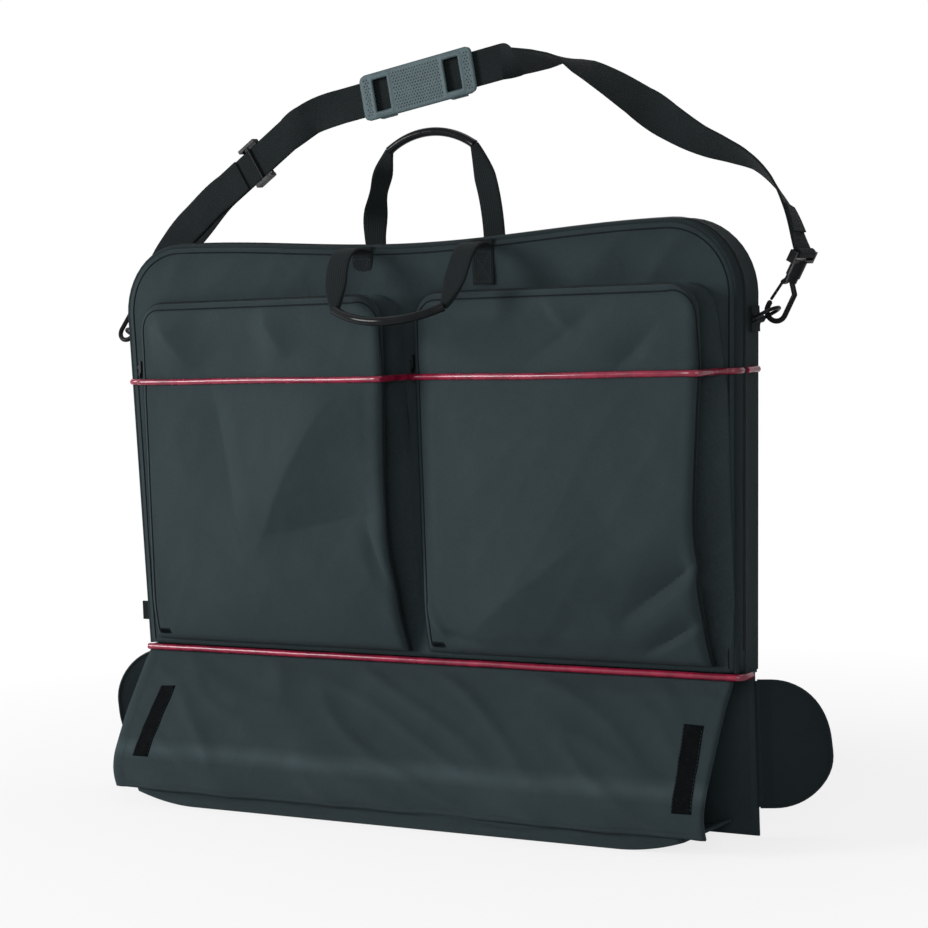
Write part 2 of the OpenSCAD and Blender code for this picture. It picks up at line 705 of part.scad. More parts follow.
// The sewn loop of webbing round a hook's strap bar
module strap_loop(side) {
    color(dark) on_eye(side) translate([0, 0, hook_l]) rotate([0, 90, 0])
        difference() {
            cylinder(r = loop_r, h = strap_w, center = true);
            cylinder(r = bar_r + 0.3, h = strap_w + 2, center = true);
        }
}

// The strap in lengths that meet end to end: up to the pad, behind it, the turn and down to the hook
module strap_web(first, last) {
    color(dark) webbing(first * route_steps, last * route_steps, -strap_t / 2, strap_t / 2);
}

// The strap's returning ply, on its front face from the left hook up to the adjuster
module strap_ply() {
    color(dark) webbing(2 * route_steps, 5 * route_steps + 1, strap_t / 2 + 0.2, strap_t * 1.5 + 0.2);
}

// Adjuster: side rails past the webbing, one bar over it and two under it
module adjuster() {
    rail = 3.5;
    half = strap_w / 2 + gap;
    clear = strap_t / 2 + gap;
    a = adjust_dir;
    b = unit([-a[2], 0, a[0]]);
    color(dark) on_frame(adjust_mid, a, b) {
        for (s = [-1, 1]) translate([-adjuster_l / 2, s * (half + rail / 2) - rail / 2, -clear - adjuster_bar])
            cube([adjuster_l, rail, 2 * (clear + adjuster_bar)]);
        rod([0, -half - 1, clear + adjuster_bar / 2], [0, half + 1, clear + adjuster_bar / 2],
            adjuster_bar / 2);
        for (s = [-1, 1]) rod([s * (adjuster_l - adjuster_bar) / 2, -half - 1, -clear - adjuster_bar / 2],
            [s * (adjuster_l - adjuster_bar) / 2, half + 1, -clear - adjuster_bar / 2], adjuster_bar / 2);
    }
}

// Shoulder pad: a moulded plate on the strap's face, with slots over two keepers behind the strap
module shoulder_pad() {
    clear = strap_t / 2 + gap;
    half = strap_w / 2 + gap;
    r = 7;
    b = unit([-pad_dir[2], 0, pad_dir[0]]);
    color(pad_grey) on_frame(pad_mid, pad_dir, b) {
        difference() {
            translate([0, 0, clear]) linear_extrude(pad_t) {
                square([pad_l - 2 * r, pad_w], center = true);
                square([pad_l, pad_w - 2 * r], center = true);
                for (s = [-1, 1], t = [-1, 1]) translate([s * (pad_l / 2 - r), t * (pad_w / 2 - r)])
                    circle(r = r);
            }
            for (s = [-1, 1]) translate([s * pad_slot_x - pad_slot_l / 2, -strap_w / 2 + 2, 0])
                cube([pad_slot_l, strap_w - 4, 4 * pad_t]);
        }
        for (s = [-1, 1]) {
            for (t = [-1, 1]) translate([s * pad_slot_x - pad_slot_l / 2, t > 0 ? half : -pad_w / 2,
                                         -clear - 2.5])
                cube([pad_slot_l, pad_w / 2 - half, 2 * clear + 2.5 + 0.1]);
            translate([s * pad_slot_x - pad_slot_l / 2, -pad_w / 2, -clear - 2.5])
                cube([pad_slot_l, pad_w, 2.5]);
        }
    }
}

// Zip sliders with their pulls

// Children drawn with x along the zip, y across it and z out of the fabric
module main_zip_frame() {
    up = unit([half_w(z_shoulder) - half_w(low_z), 0, z_shoulder - low_z]);
    on_frame([-half_w(main_park_z), y_zip, main_park_z], [-up[0], 0, up[2]], [0, 1, 0]) children();
}

// A pocket's slider is parked with its pull just over the upper piping
module pocket_zip_frame(side) {
    z = up_z + cord_r + 2 * gap + pocket_pull_l;
    p = pocket_face(side, 0, -pocket_zip_y);
    on_frame([pocket_x0(side), p[1], z], [0, 0, 1], [0, 1, 0]) children();
}

// A slider: a plate over both rows of teeth, a flange behind them and a bail for the pull
module slider() {
    translate([-slider_l / 2, -slider_w / 2, zip_rise + gap]) cube([slider_l, slider_w, 1.6]);
    translate([-slider_l / 2, slider_w / 2 - 1.2, gap]) cube([slider_l, 1.2, zip_rise + 1]);
    for (s = [-1, 1]) translate([-1.6, s * 2.6 - 0.6, slider_h - 0.2])
        cube([3.2, 1.2, bail_z - slider_h + 1.4]);
    rod([0, -2.6, bail_z], [0, 2.6, bail_z], 0.8);
}

// A pull: a flat tongue with an eye on the bail, hanging down the zip
module pull(l) {
    translate([0, 0, bail_z]) difference() {
        union() {
            rotate([90, 0, 0]) cylinder(r = 1.9, h = 3.2, center = true);
            translate([-l + 1, -1.6, -0.8]) cube([l - 1, 3.2, 1.6]);
            translate([0, 0, -0.8]) linear_extrude(1.6) {
                translate([-l + pull_w / 2, 0]) circle(d = pull_w);
                translate([-l + pull_w / 2, -pull_w / 2]) square([l * 0.6 - pull_w / 2, pull_w]);
            }
        }
        rotate([90, 0, 0]) cylinder(r = 1.1, h = 9, center = true);
    }
}

back_panel();
gusset_back();
compartment_floor();
sleeve_base();
sleeve_cover();
piping_back();
piping_lower();
piping_upper_rear(-1);  // piping_upper_rear_left
piping_upper_rear(1);  // piping_upper_rear_right
zip_row_back();
strip(-1);  // strip_left
strip(1);  // strip_right
ring_tab(-1);  // ring_tab_left
ring_tab(1);  // ring_tab_right
side_tab();
patch(rear_handle_x - handle_span / 2, true);  // rear_patch_left
patch(rear_handle_x + handle_span / 2, true);  // rear_patch_right
front_panel();
gusset_front();
piping_front();
piping_upper();
zip_row_front();
pocket(-1);  // pocket_left
pocket(1);  // pocket_right
patch(front_handle_x - handle_span / 2, false);  // front_patch_left
patch(front_handle_x + handle_span / 2, false);  // front_patch_right
color(dark) front_handle_place() handle_web();  // front_handle_web
color(dark) front_handle_place() handle_grip();  // front_handle_grip
color(dark) rear_handle_place() handle_web();  // rear_handle_web
color(dark) rear_handle_place() handle_grip();  // rear_handle_grip
end_flap(-1);  // end_flap_left
end_flap(1);  // end_flap_right
strap_web(0, 8);  // strap_web_left
strap_web(8, 12);  // strap_web_pad
strap_web(12, 18);  // strap_web_twist
strap_web(18, len(route) - 1);  // strap_web_right
strap_ply();
strap_loop(-1);  // strap_loop_left
strap_loop(1);  // strap_loop_right
hook_base(-1);  // hook_base_left
hook_base(1);  // hook_base_right
shoulder_pad();
adjuster();
ring(-1);  // ring_left
ring(1);  // ring_right
jaw(-1);  // jaw_left
jaw(1);  // jaw_right
gate(-1);  // gate_left
gate(1);  // gate_right
color(steel) main_zip_frame() slider();  // slider_main
color(steel) main_zip_frame() pull(pull_l);  // pull_main
color(dark) pocket_zip_frame(-1) slider();  // slider_left
color(dark) pocket_zip_frame(1) slider();  // slider_right
color(dark) pocket_zip_frame(-1) pull(pocket_pull_l);  // pull_left
color(dark) pocket_zip_frame(1) pull(pocket_pull_l);  // pull_right
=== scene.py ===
import math

import bmesh
import bpy
from mathutils import Matrix, Vector, noise


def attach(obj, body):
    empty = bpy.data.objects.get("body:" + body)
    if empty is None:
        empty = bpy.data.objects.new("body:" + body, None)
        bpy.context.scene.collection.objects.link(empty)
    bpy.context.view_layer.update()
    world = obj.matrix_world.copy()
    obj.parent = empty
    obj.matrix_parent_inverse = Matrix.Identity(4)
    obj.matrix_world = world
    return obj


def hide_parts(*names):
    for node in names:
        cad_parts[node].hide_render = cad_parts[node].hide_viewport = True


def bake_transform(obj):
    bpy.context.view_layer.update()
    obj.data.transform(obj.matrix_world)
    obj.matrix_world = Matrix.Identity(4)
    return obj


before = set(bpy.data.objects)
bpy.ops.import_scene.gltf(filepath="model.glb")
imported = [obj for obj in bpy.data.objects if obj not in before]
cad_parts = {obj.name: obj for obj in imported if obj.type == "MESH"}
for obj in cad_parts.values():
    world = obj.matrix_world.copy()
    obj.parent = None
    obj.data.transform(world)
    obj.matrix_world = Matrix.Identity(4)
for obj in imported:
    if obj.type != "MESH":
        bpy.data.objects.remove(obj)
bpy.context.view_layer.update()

# Studio: a plain pale floor that runs out into a white background, a large soft lamp on the left of
# the camera and a little above the bag, a weaker one on the right and a wide one overhead. The camera
# looks across the pockets from the right, a little below the bag's top edge.
scene = bpy.context.scene
scene.view_settings.view_transform = "Standard"


class Wire:
    """One output of a node, so that shader maths reads as plain sums."""

    def __init__(self, tree, socket=None):
        self.tree, self.socket = tree, socket

    def node(self, kind, settings=(), sockets=(), out=0):
        made = self.tree.nodes.new("ShaderNode" + kind)
        for name, value in dict(settings).items():
            if name == "stops":
                ramp = made.color_ramp.elements
                while len(ramp) < len(value):
                    ramp.new(0.5)
                for stop, (place, tone) in zip(ramp, value):
                    stop.position, stop.color = place, (tone, tone, tone, 1)
            else:
                setattr(made, name, value)
        for name, value in dict(sockets).items():
            if isinstance(value, Wire):
                self.tree.links.new(value.socket, made.inputs[name])
            else:
                made.inputs[name].default_value = value
        return Wire(self.tree, made.outputs[out] if made.outputs else None)

    def other(self, out):
        return Wire(self.tree, self.socket.node.outputs[out])

    def maths(self, operation, first, second=0.0):
        return self.node("Math", {"operation": operation}, {0: first, 1: second})

    def __add__(self, more):
        return self.maths("ADD", self, more)

    def __sub__(self, less):
        return self.maths("SUBTRACT", self, less)

    def __rsub__(self, whole):
        return self.maths("SUBTRACT", whole, self)

    def __mul__(self, times):
        return self.maths("MULTIPLY", self, times)

    def __abs__(self):
        return self.maths("ABSOLUTE", self)

    __radd__, __rmul__ = __add__, __mul__

    def sine(self):
        return self.maths("SINE", self)

    def ramp(self, *stops):
        return self.node("ValToRGB", {"stops": stops}, {0: self})

    def tint(self, dark, light):
        return self.node("Mix", {"data_type": "RGBA"}, {0: self, 6: (*dark, 1), 7: (*light, 1)}, out=2)


eye = Vector((1.3488, -2.0367, 0.510))
yaw, pitch, roll = (math.radians(angle) for angle in (32.19, 3.64, -2.05))
gaze = Vector((-math.sin(yaw) * math.cos(pitch), math.cos(yaw) * math.cos(pitch), -math.sin(pitch)))
level = Vector((math.cos(yaw), math.sin(yaw), 0))
across = level * math.cos(roll) + level.cross(gaze) * math.sin(roll)
camera = bpy.data.objects.new("camera", bpy.data.cameras.new("camera"))
camera.data.sensor_width, camera.data.lens = 36, 95.38
camera.matrix_world = (Matrix.Translation(eye)
                       @ Matrix((across, across.cross(gaze), -gaze)).transposed().to_4x4())
scene.collection.objects.link(camera)
scene.camera = camera


def soft_lamp(name, place, size, power):
    """A round lamp that shines on the middle of the bag."""
    aim = Vector((0, 0, 0.36))
    lamp = bpy.data.objects.new(name, bpy.data.lights.new(name, "AREA"))
    lamp.data.shape, lamp.data.size, lamp.data.energy = "DISK", size, power
    lamp.location = place
    lamp.rotation_euler = (aim - lamp.location).to_track_quat("-Z", "Y").to_euler()
    scene.collection.objects.link(lamp)


soft_lamp("lamp_left", Vector((-2.45, -2.25, 1.15)), 1.4, 108)
soft_lamp("lamp_right", Vector((1.5, -2.6, 1.0)), 1.2, 26)
soft_lamp("lamp_over", Vector((0.2, 0.5, 2.6)), 1.8, 14)


def seen_plainly(wire):
    """1 for rays that go straight to the eye or by way of a mirror or a clear pane."""
    path = wire.node("LightPath", out="Is Camera Ray")
    return path.maths("MINIMUM", path + path.other("Is Glossy Ray")
                      + path.other("Is Transmission Ray"), 1.0)


white, fill_light = (1, 1, 1, 1), 0.18
scene.world = bpy.data.worlds.new("studio")
scene.world.use_nodes = True
scene.world.node_tree.nodes.clear()
sky = Wire(scene.world.node_tree)
sky.node("OutputWorld", sockets={"Surface": sky.node("MixShader", sockets={
    0: seen_plainly(sky),
    1: sky.node("Background", sockets={"Color": white, "Strength": fill_light}),
    2: sky.node("Background", sockets={"Color": white, "Strength": 1.0})})})


def new_finish(name):
    """An empty material, with a wire to start its nodes from."""
    finish = bpy.data.materials.new(name)
    finish.use_nodes = True
    finish.node_tree.nodes.clear()
    return finish, Wire(finish.node_tree)


floor_finish, wire = new_finish("pale_floor")
away = wire.node("VectorMath", {"operation": "LENGTH"}, {0: wire.node("TexCoord", out="Object")}, out=1)
wire.node("OutputMaterial", sockets={"Surface": wire.node("MixShader", sockets={
    0: seen_plainly(wire) * (away * 0.5).ramp((0.25, 0.80), (0.62, 1.0)),
    1: wire.node("BsdfDiffuse", sockets={"Color": (0.92, 0.92, 0.92, 1)}),
    2: wire.node("Emission", sockets={"Color": white, "Strength": 1.0})})})
floor_r = 9.0
shape = bmesh.new()
bmesh.ops.create_circle(shape, cap_ends=True, segments=96, radius=floor_r)
mesh = bpy.data.meshes.new("floor")
shape.to_mesh(mesh)
shape.free()
mesh.materials.append(floor_finish)
floor = bpy.data.objects.new("floor", mesh)
scene.collection.objects.link(floor)

# Back: one panel of padded black polyester that is also the rear wall of the sleeve along the foot.
# It is cut in one piece, with round top corners, and its top edge sags a little between them. A
# thin foam lies under the cloth, so the panel is soft but keeps its shape.
mm = 0.001
# Heights of the lower seam, of the upper red cord, of the corners' start and of the top edge.
low, up, shoulder, crown = 160, 443, 515, 587
# Radius and middle of the top corners, and how far the top edge sags between them.
corner, corner_x, droop = 72, 290.29, 12
# Half the width at the lower seam, and what it gains up to the upper cord.
half_low, half_gain = 351, 9
back_y, front_y, wall = 59, 13, 3


def close_finish(wire, sockets, height=None, depth=0.0003, strength=1.0):
    """Ends a finish in its shader, with the relief of its surface."""
    if height:
        sockets["Normal"] = wire.node("Bump", sockets={
            "Height": height, "Distance": depth, "Strength": strength})
    wire.node("OutputMaterial", sockets={
        "Surface": wire.node("BsdfPrincipled", sockets=sockets)})


def speckle(wire, scale, detail):
    """Cloudy noise that is fixed to the piece."""
    return wire.node("TexNoise", sockets={
        "Vector": wire.node("TexCoord", out="Object"), "Scale": scale, "Detail": detail})


def polyester(name, dark, light, rough, rub_highlight_z=None, painted_shade_w=None):
    """Plain-woven cloth: fine over-and-under threads, crumpled and cloudy.

    It is paler in a band at the height given: wear, and a painted highlight. Over a strip of the width
    given it carries painted shade, darkest along the edge where it meets the front, and a little
    painted light along its other edge.
    """
    finish, wire = new_finish(name)
    thread = 2 * math.pi / 0.0009
    across = wire.node("SeparateXYZ", sockets={0: wire.node("TexCoord", out="UV")})
    weave = (across * thread).sine() * (across.other("Y") * thread).sine()
    cloud = speckle(wire, 7.0, 4.0)
    slub = speckle(wire, 420.0, 2.0)
    rub = speckle(wire, 38.0, 5.0)
    crumple = speckle(wire, 19.0, 3.0)
    wear_and_painted_light = rub.ramp((0.52, 0.0), (0.72, 1.0)) * 0.06
    # Band at a height: paler cloth, as wear and as a painted highlight on the sleeve's knee.
    if rub_highlight_z:
        per_metre = 90
        height = wire.node("SeparateXYZ", sockets={0: wire.node("TexCoord", out="Object")}, out="Z")
        rub_highlight_band = (1 - abs(height - rub_highlight_z) * per_metre).ramp((0.0, 0.0), (0.9, 1.0))
        wear_and_painted_light = wear_and_painted_light + rub_highlight_band * (0.25 + rub * 0.5)
    # Painted shade along the strip's edge that meets the front, and a little painted light along its
    # other edge.
    if painted_shade_w:
        clear_of_painted_shade = (across * (1 / painted_shade_w)).ramp((0.0, 1.0), (0.5, 0.55), (0.88, 0.0))
        wear_and_painted_light = wear_and_painted_light + clear_of_painted_shade * 0.75 - 0.48
    # The weave in the base colour is a faint painted glint on the threads.
    close_finish(wire, {
        "Base Color": (cloud * 0.5 + slub * 0.3 + weave * 0.12 + wear_and_painted_light + 0.05).tint(dark, light),
        "Roughness": rough + cloud * 0.16 - wear_and_painted_light * 0.3,
        "Sheen Weight": 0.03, "Sheen Roughness": 0.45, "Sheen Tint": (0.72, 0.88, 0.94, 1),
        "Specular IOR Level": 0.06,
    }, weave * 0.6 + slub * 0.8 + crumple * 15.0, 0.00022)
    return finish


cloth_dark, cloth_light, cloth_rough = (0.0152, 0.0226, 0.0250), (0.0390, 0.0565, 0.0620), 0.66
bag_cloth = polyester("black_polyester", cloth_dark, cloth_light, cloth_rough)


def cloth_grid(columns, rows, place, size):
    """A sheet of cloth: a grid whose points go where place says, with its cut size as its UV map."""
    bm = bmesh.new()
    weave = bm.loops.layers.uv.new("weave")
    bmesh.ops.create_grid(bm, x_segments=columns, y_segments=rows, size=0.5)
    spots = {vert: (vert.co.x + 0.5, vert.co.y + 0.5) for vert in bm.verts}
    for face in bm.faces:
        for loop in face.loops:
            u, v = spots[loop.vert]
            loop[weave].uv = (u * size[0] * mm, v * size[1] * mm)
    for vert, (u, v) in spots.items():
        vert.co = Vector(place(u, v)) * mm
    return bm


def put(name, bm, finish, body, slot, *nodes, thick=0.0, offset=0.0, crease=35):
    """Sets a finished mesh on its body, in place of the solids' nodes."""
    mesh = bpy.data.meshes.new(name)
    bm.to_mesh(mesh)
    bm.free()
    mesh.materials.append(finish)
    mesh.shade_smooth()
    mesh.set_sharp_from_angle(angle=math.radians(crease))
    piece = bpy.data.objects.new(name, mesh)
    scene.collection.objects.link(piece)
    if thick:
        shell = piece.modifiers.new("cloth", "SOLIDIFY")
        shell.thickness, shell.offset = thick * mm, offset
    if isinstance(body, str):
        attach(piece, body)
    else:
        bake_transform(piece)
    if nodes:
        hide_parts(*nodes)
    return piece


def half_width(z):
    """Half the bag's width, which grows evenly from the lower seam upwards."""
    return half_low + half_gain * (z - low) / (up - low)


def sag(x):
    """How far the top edge hangs below its corners."""
    return droop * (1 + math.cos(math.pi * x / corner_x)) / 2 if abs(x) < corner_x else 0


def panel_point(u, v, z0, inset):
    """Place on a panel of the bag's outline: near-straight sides, round corners, a sagging top."""
    straight, bent, sag_from = 0.8, 0.2, 440
    if v < straight:
        z = z0 + (shoulder - z0) * v / straight
        half = half_width(z) - inset
    else:
        turn = (v - straight) / bent * math.pi / 2
        z = shoulder + (corner - inset) * math.sin(turn)
        half = corner_x + (corner - inset) * math.cos(turn)
    x = (2 * u - 1) * half
    return x, z - sag(x) * max(0, (z - sag_from) / (crown - inset - sag_from))


def folds(x, z, seed, broad=1.0, sharp=1.0):
    """Relief of slack cloth: broad swells, and a few slanting folds with a soft ridge."""
    swell = noise.noise(Vector((x / 130, z / 95, seed)))
    swell += 0.5 * noise.noise(Vector(((x + 0.4 * z) / 55, z / 60, seed + 3)))
    slant = noise.noise(Vector(((x - 0.8 * z) / 75, (z + 0.6 * x) / 260, seed + 7)))
    ridge = max(0.0, 1 - 2.5 * abs(slant)) ** 1.5
    return 3.0 * broad * swell + 2.0 * sharp * ridge


def share_of(*values):
    """The least of some values, kept between 0 and 1."""
    return max(0.0, min(1.0, *values))


panel_inset, panel_t = 4.5, 2.8


def back_place(u, v):
    """Place on the back: straight along the sleeve, then the panel's outline, with shallow hollows."""
    sleeve, rest, foot_half = 0.25, 0.75, 347
    if v < sleeve:
        z = low * v / sleeve
        x = (1 - 2 * u) * (foot_half - 0.5 * v / sleeve)
    else:
        x, z = panel_point(1 - u, (v - sleeve) / rest, low, panel_inset)
    edge = share_of((foot_half - 1 - abs(x)) / 40 + 0.1, z / 40, (crown - z) / 50)
    return x, back_y - wall / 2 - 0.8 * abs(folds(x, z, 2.0)) * edge, z


put("back_panel_cloth", cloth_grid(90, 88, back_place, (720, crown)), bag_cloth, "bag", "bag_fabric",
    "back_panel", thick=panel_t)

# Rear gusset: the band of the same polyester that joins the back to the zip, round three sides. It
# is sewn to the back with a covered piping cord, and hemmed along the zip.
zip_y, zip_gap, rim_l = 27, 0.4, 1480


def rim(inset, z0, y=0.0):
    """The bag's outline from its lower right corner over the top to its lower left one."""
    reach = corner - inset
    half = [(half_width(z) - inset, z) for z in (z0 + (shoulder - z0) * i / 24 for i in range(24))]
    half += [(corner_x + reach * math.cos(a), shoulder + reach * math.sin(a))
             for a in (math.radians(7.5 * i) for i in range(13))]
    half += [(x, crown - inset - sag(x)) for x in (corner_x * (1 - i / 16) for i in range(1, 17))]
    return [Vector((x, y, z)) for x, z in half] + [Vector((-x, y, z)) for x, z in half[-2::-1]]


def run_at(points, i):
    """Direction of a line of points at one of them."""
    return (points[min(i + 1, len(points) - 1)] - points[max(i - 1, 0)]).normalized()


def gusset(y0, y1, z0):
    """A band round the rim, slightly hollow between its two seams."""
    line = rim(0, z0)
    last = len(line) - 1

    def place(u, v):
        i = round(v * last)
        run = run_at(line, i)
        out = Vector((run.z, 0, -run.x))
        hollow = math.sin(math.pi * u) * (0.5 + 0.5 * noise.noise(Vector((v * 40, u * 2, y0))))
        return line[i] + Vector((0, y0 + (y1 - y0) * u, 0)) - out * hollow

    return cloth_grid(8, last, place, (y1 - y0, rim_l))


# A darker copy of the bag's polyester: painted shade on the gussets and the edge cords.
shaded_edge_cloth = polyester("edge_polyester_painted_shade", (0.0090, 0.0133, 0.0148), (0.0230, 0.0335, 0.0368),
                       cloth_rough)
edge_gap = 5
put("gusset_back_cloth", gusset(zip_y + zip_gap, back_y - edge_gap, low), shaded_edge_cloth, "bag",
    "bag_fabric", "gusset_back", thick=wall, offset=-1)


def swept(points, sides, outline):
    """An outline carried along points, each with its own sideways direction, closed at both ends."""
    last = len(points) - 1
    first_outline = outline(0) if callable(outline) else outline
    count = len(first_outline)
    girth = sum(math.dist(a, b) for a, b in zip(first_outline, first_outline[1:] + first_outline[:1]))
    gone = [0.0]
    for a, b in zip(points, points[1:]):
        gone.append(gone[-1] + (b - a).length)

    def place(u, v):
        i = round(v * last)
        run = run_at(points, i)
        side = (sides[i] - run * sides[i].dot(run)).normalized()
        x, y = (outline(i / last) if callable(outline) else outline)[round(u * count) % count]
        return points[i] + side * x + run.cross(side) * y

    bm = cloth_grid(count, last, place, (girth, last / mm))
    weave = bm.loops.layers.uv.active
    for face in bm.faces:
        for loop in face.loops:
            loop[weave].uv.y = gone[round(loop[weave].uv.y)] * mm
    bmesh.ops.remove_doubles(bm, verts=bm.verts, dist=1e-6)
    bmesh.ops.holes_fill(bm, edges=[edge for edge in bm.edges if edge.is_boundary])
    bmesh.ops.recalc_face_normals(bm, faces=bm.faces)
    return bm


def round_outline(radius, count=10):
    """Section of a cord or a tube."""
    turns = (2 * math.pi * (i + 0.5) / count for i in range(count))
    return [(radius * math.cos(a), radius * math.sin(a)) for a in turns]


along_y, along_z = Vector((0, 1, 0)), Vector((0, 0, 1))
piping_r, piping_inset = 2.9, 3


def edge_piping(name, body, node, y, z0):
    """A cord in a folded strip of the cloth, round the edge of a panel."""
    line = rim(piping_inset, z0, y)
    put(name, swept(line, [along_y] * len(line), round_outline(piping_r)), shaded_edge_cloth, body,
        "bag_fabric", node)


edge_piping("piping_back_cord", "bag", "piping_back", back_y - piping_inset, low)

# Floor of the zipped compartment: a plain strip of the same cloth between the back and the lower
# seam, sewn in all round. It also closes the top of the sleeve.
lining_t = 2.6


def floor_place(u, v):
    """Place on the floor, from the lower seam to the back, nearly flat."""
    y = front_y - 0.5 + (back_y - front_y - panel_t) * v
    ripple = 0.4 * noise.noise(Vector((u * 14, v * 3, 5)))
    return (2 * u - 1) * (half_low - 1), y, low - wall / 2 + ripple


put("compartment_floor_cloth", cloth_grid(60, 6, floor_place, (2 * half_low, 44)), bag_cloth, "bag",
    "bag_fabric", "compartment_floor", thick=lining_t)

# Sleeve: a cover of black polyester slopes from the lower seam over the foot of the bag and turns
# down at a soft knee to its hem. It is sewn in along the top and to the base below, is open at both
# ends, and its ends have a double-turned hem.
cover_top, cover_mid, cover_knee = (10.5, 154.5), (-27, 109), (-58.5, 51)
hem_z, cover_half, cover_l = 20, 347, 172
hem_x, hem_w, hem_s = 341, 6, 0.955


def cover_line(slope=33, drop=11, rounds=20):
    """The cover's middle line in Y and Z from its top seam to its hem, rounded at the knee."""
    line = []
    for i in range(slope + 1):
        t = i / slope
        line.append([(1 - t) ** 2 * a + 2 * t * (1 - t) * b + t * t * c
                     for a, b, c in zip(cover_top, cover_mid, cover_knee)])
    knee_y, knee_z = cover_knee
    line += [[knee_y + 3.0 * (i / drop) ** 1.5, knee_z + (hem_z - 2 - knee_z) * i / drop]
             for i in range(1, drop + 1)]
    for i in range(drop + 1):
        line[-1 - i][0] -= 3.5 * math.sin(math.pi * i / drop)
    for _ in range(rounds):
        line = [line[0]] + [[(a + 2 * b + c) / 4 for a, b, c in zip(*three)]
                            for three in zip(line, line[1:], line[2:])] + [line[-1]]
    return line


cover = cover_line()


def cover_point(x, s, out=0.0):
    """Place on the cover at a share of the way down it, stood off from its slack surface."""
    at = s * (len(cover) - 1)
    i = min(int(at), len(cover) - 2)
    (y0, z0), (y1, z1) = cover[i], cover[i + 1]
    y, z = y0 + (y1 - y0) * (at - i), z0 + (z1 - z0) * (at - i)
    dy, dz = y1 - y0, z1 - z0
    size = math.hypot(dy, dz)
    held = min(1.0, s / 0.12) * min(1.0, (1 - s) / 0.05 + 0.35)
    held *= min(1.0, (cover_half - abs(x)) / 90 + 0.12)
    slack = folds(x, 300 * s, 11.0, 1.5, 1.8) * held
    slack += 2.2 * math.sin(math.pi * s) ** 2 * (0.5 + 0.5 * math.cos(x / 105)) - 0.8
    off = out + slack
    return x, y + dz / size * off, z - dy / size * off


def cover_place(u, v):
    """Place on the cover, which is thicker along the hems of its ends."""
    x = (2 * u - 1) * cover_half
    hem = 0.7 * max(0.0, 1 - abs(abs(x) - hem_x) / hem_w) ** 0.5
    return cover_point(x, 1 - v, hem)


# The cover's cloth is paler in a band at the knee: wear, and a painted highlight on the knee's roll.
rubbed_highlit_cloth = polyester("rubbed_highlit_polyester", cloth_dark, cloth_light, cloth_rough, rub_highlight_z=0.060)
sleeve_cover = put("sleeve_cover_cloth", cloth_grid(150, 48, cover_place, (2 * cover_half, cover_l)),
                   rubbed_highlit_cloth, "bag", "bag_fabric", "sleeve_cover", thick=lining_t)


def evenly(points, step):
    """Places at even steps along a line of points, each with the line's direction there."""
    places, ahead = [], step / 2
    for a, b in zip(points, points[1:]):
        run = (b - a).length
        while ahead < run:
            places.append((a.lerp(b, ahead / run), (b - a) / run))
            ahead += step
        ahead -= run
    return places


def beads(bm, places, face, size):
    """Small rounded lumps set along a line on a face: stitches, or the teeth of a zip."""
    for place, run in places:
        side = face.cross(run).normalized()
        turn = Matrix((run, side, run.cross(side))).transposed().to_4x4()
        bmesh.ops.create_icosphere(bm, subdivisions=1, radius=0.5 * mm, matrix=(
            Matrix.Translation(place * mm) @ turn @ Matrix.Diagonal((*size, 1))))


thread_finish, wire = new_finish("sewing_thread")
twist = speckle(wire, 900.0, 2.0)
close_finish(wire, {"Base Color": twist.tint((0.016, 0.021, 0.023), (0.044, 0.054, 0.058)),
                    "Roughness": 0.5 + twist * 0.2, "Specular IOR Level": 0.05}, twist, 0.0001)
stitch, cover_out = (2.6, 0.8, 0.6), Vector((0, -0.8, 0.6))


def seam(name, body, lines, face, slot="bag_fabric", step=3.6):
    """Rows of single stitches that lie on a face."""
    bm = bmesh.new()
    for line in lines:
        beads(bm, evenly(line, step), face, stitch)
    put(name, bm, thread_finish, body, slot, crease=80)


seam("sleeve_hem_stitches", "bag",
     [[Vector(cover_point(side * (hem_x - hem_w), s / 60, 1.5)) for s in range(3, 60)]
      for side in (-1, 1)]
     + [[Vector(cover_point(x * 5, hem_s, 1.5)) for x in range(-68, 69)]], cover_out)

# Base of the sleeve: a stiffened strip of the cloth that the bag stands on. It is turned up along
# the front and sewn to the cover's hem, where the slack cloth lies in small level waves.
base_half, base_z, base_back, base_bend, bend_r = 320, 2.0, 56, -47, 5.4
base_line = [(base_back - 4 * i, base_z) for i in range(26)]
base_line += [(base_bend - bend_r * math.sin(a), base_z + bend_r - bend_r * math.cos(a))
              for a in (math.radians(15 * i) for i in range(7))]
base_line += [(base_bend - bend_r, 9 + i) for i in range(12)]


def base_place(u, v):
    """Place on the base: flat below, wavy where it is turned up, with its front corners raised."""
    y, z = base_line[-1 - round(v * (len(base_line) - 1))]
    x = (2 * u - 1) * base_half
    wave = max(0.0, (z - 3) / 16) * (math.sin(z / 1.3 + 4 * noise.noise(Vector((x / 90, 0, 4))))
                                     + 1.5 * noise.noise(Vector((x / 35, z / 8, 9))))
    turned_up = 13 * max(0.0, (abs(x) - 250) / (base_half - 250)) ** 2 * (1 - z / hem_z)
    return x, y - 0.8 * wave + 0.4, z + turned_up


put("sleeve_base_cloth", cloth_grid(120, len(base_line) - 1, base_place, (2 * base_half, 130)),
    bag_cloth, "bag", "bag_fabric", "sleeve_base", thick=wall)

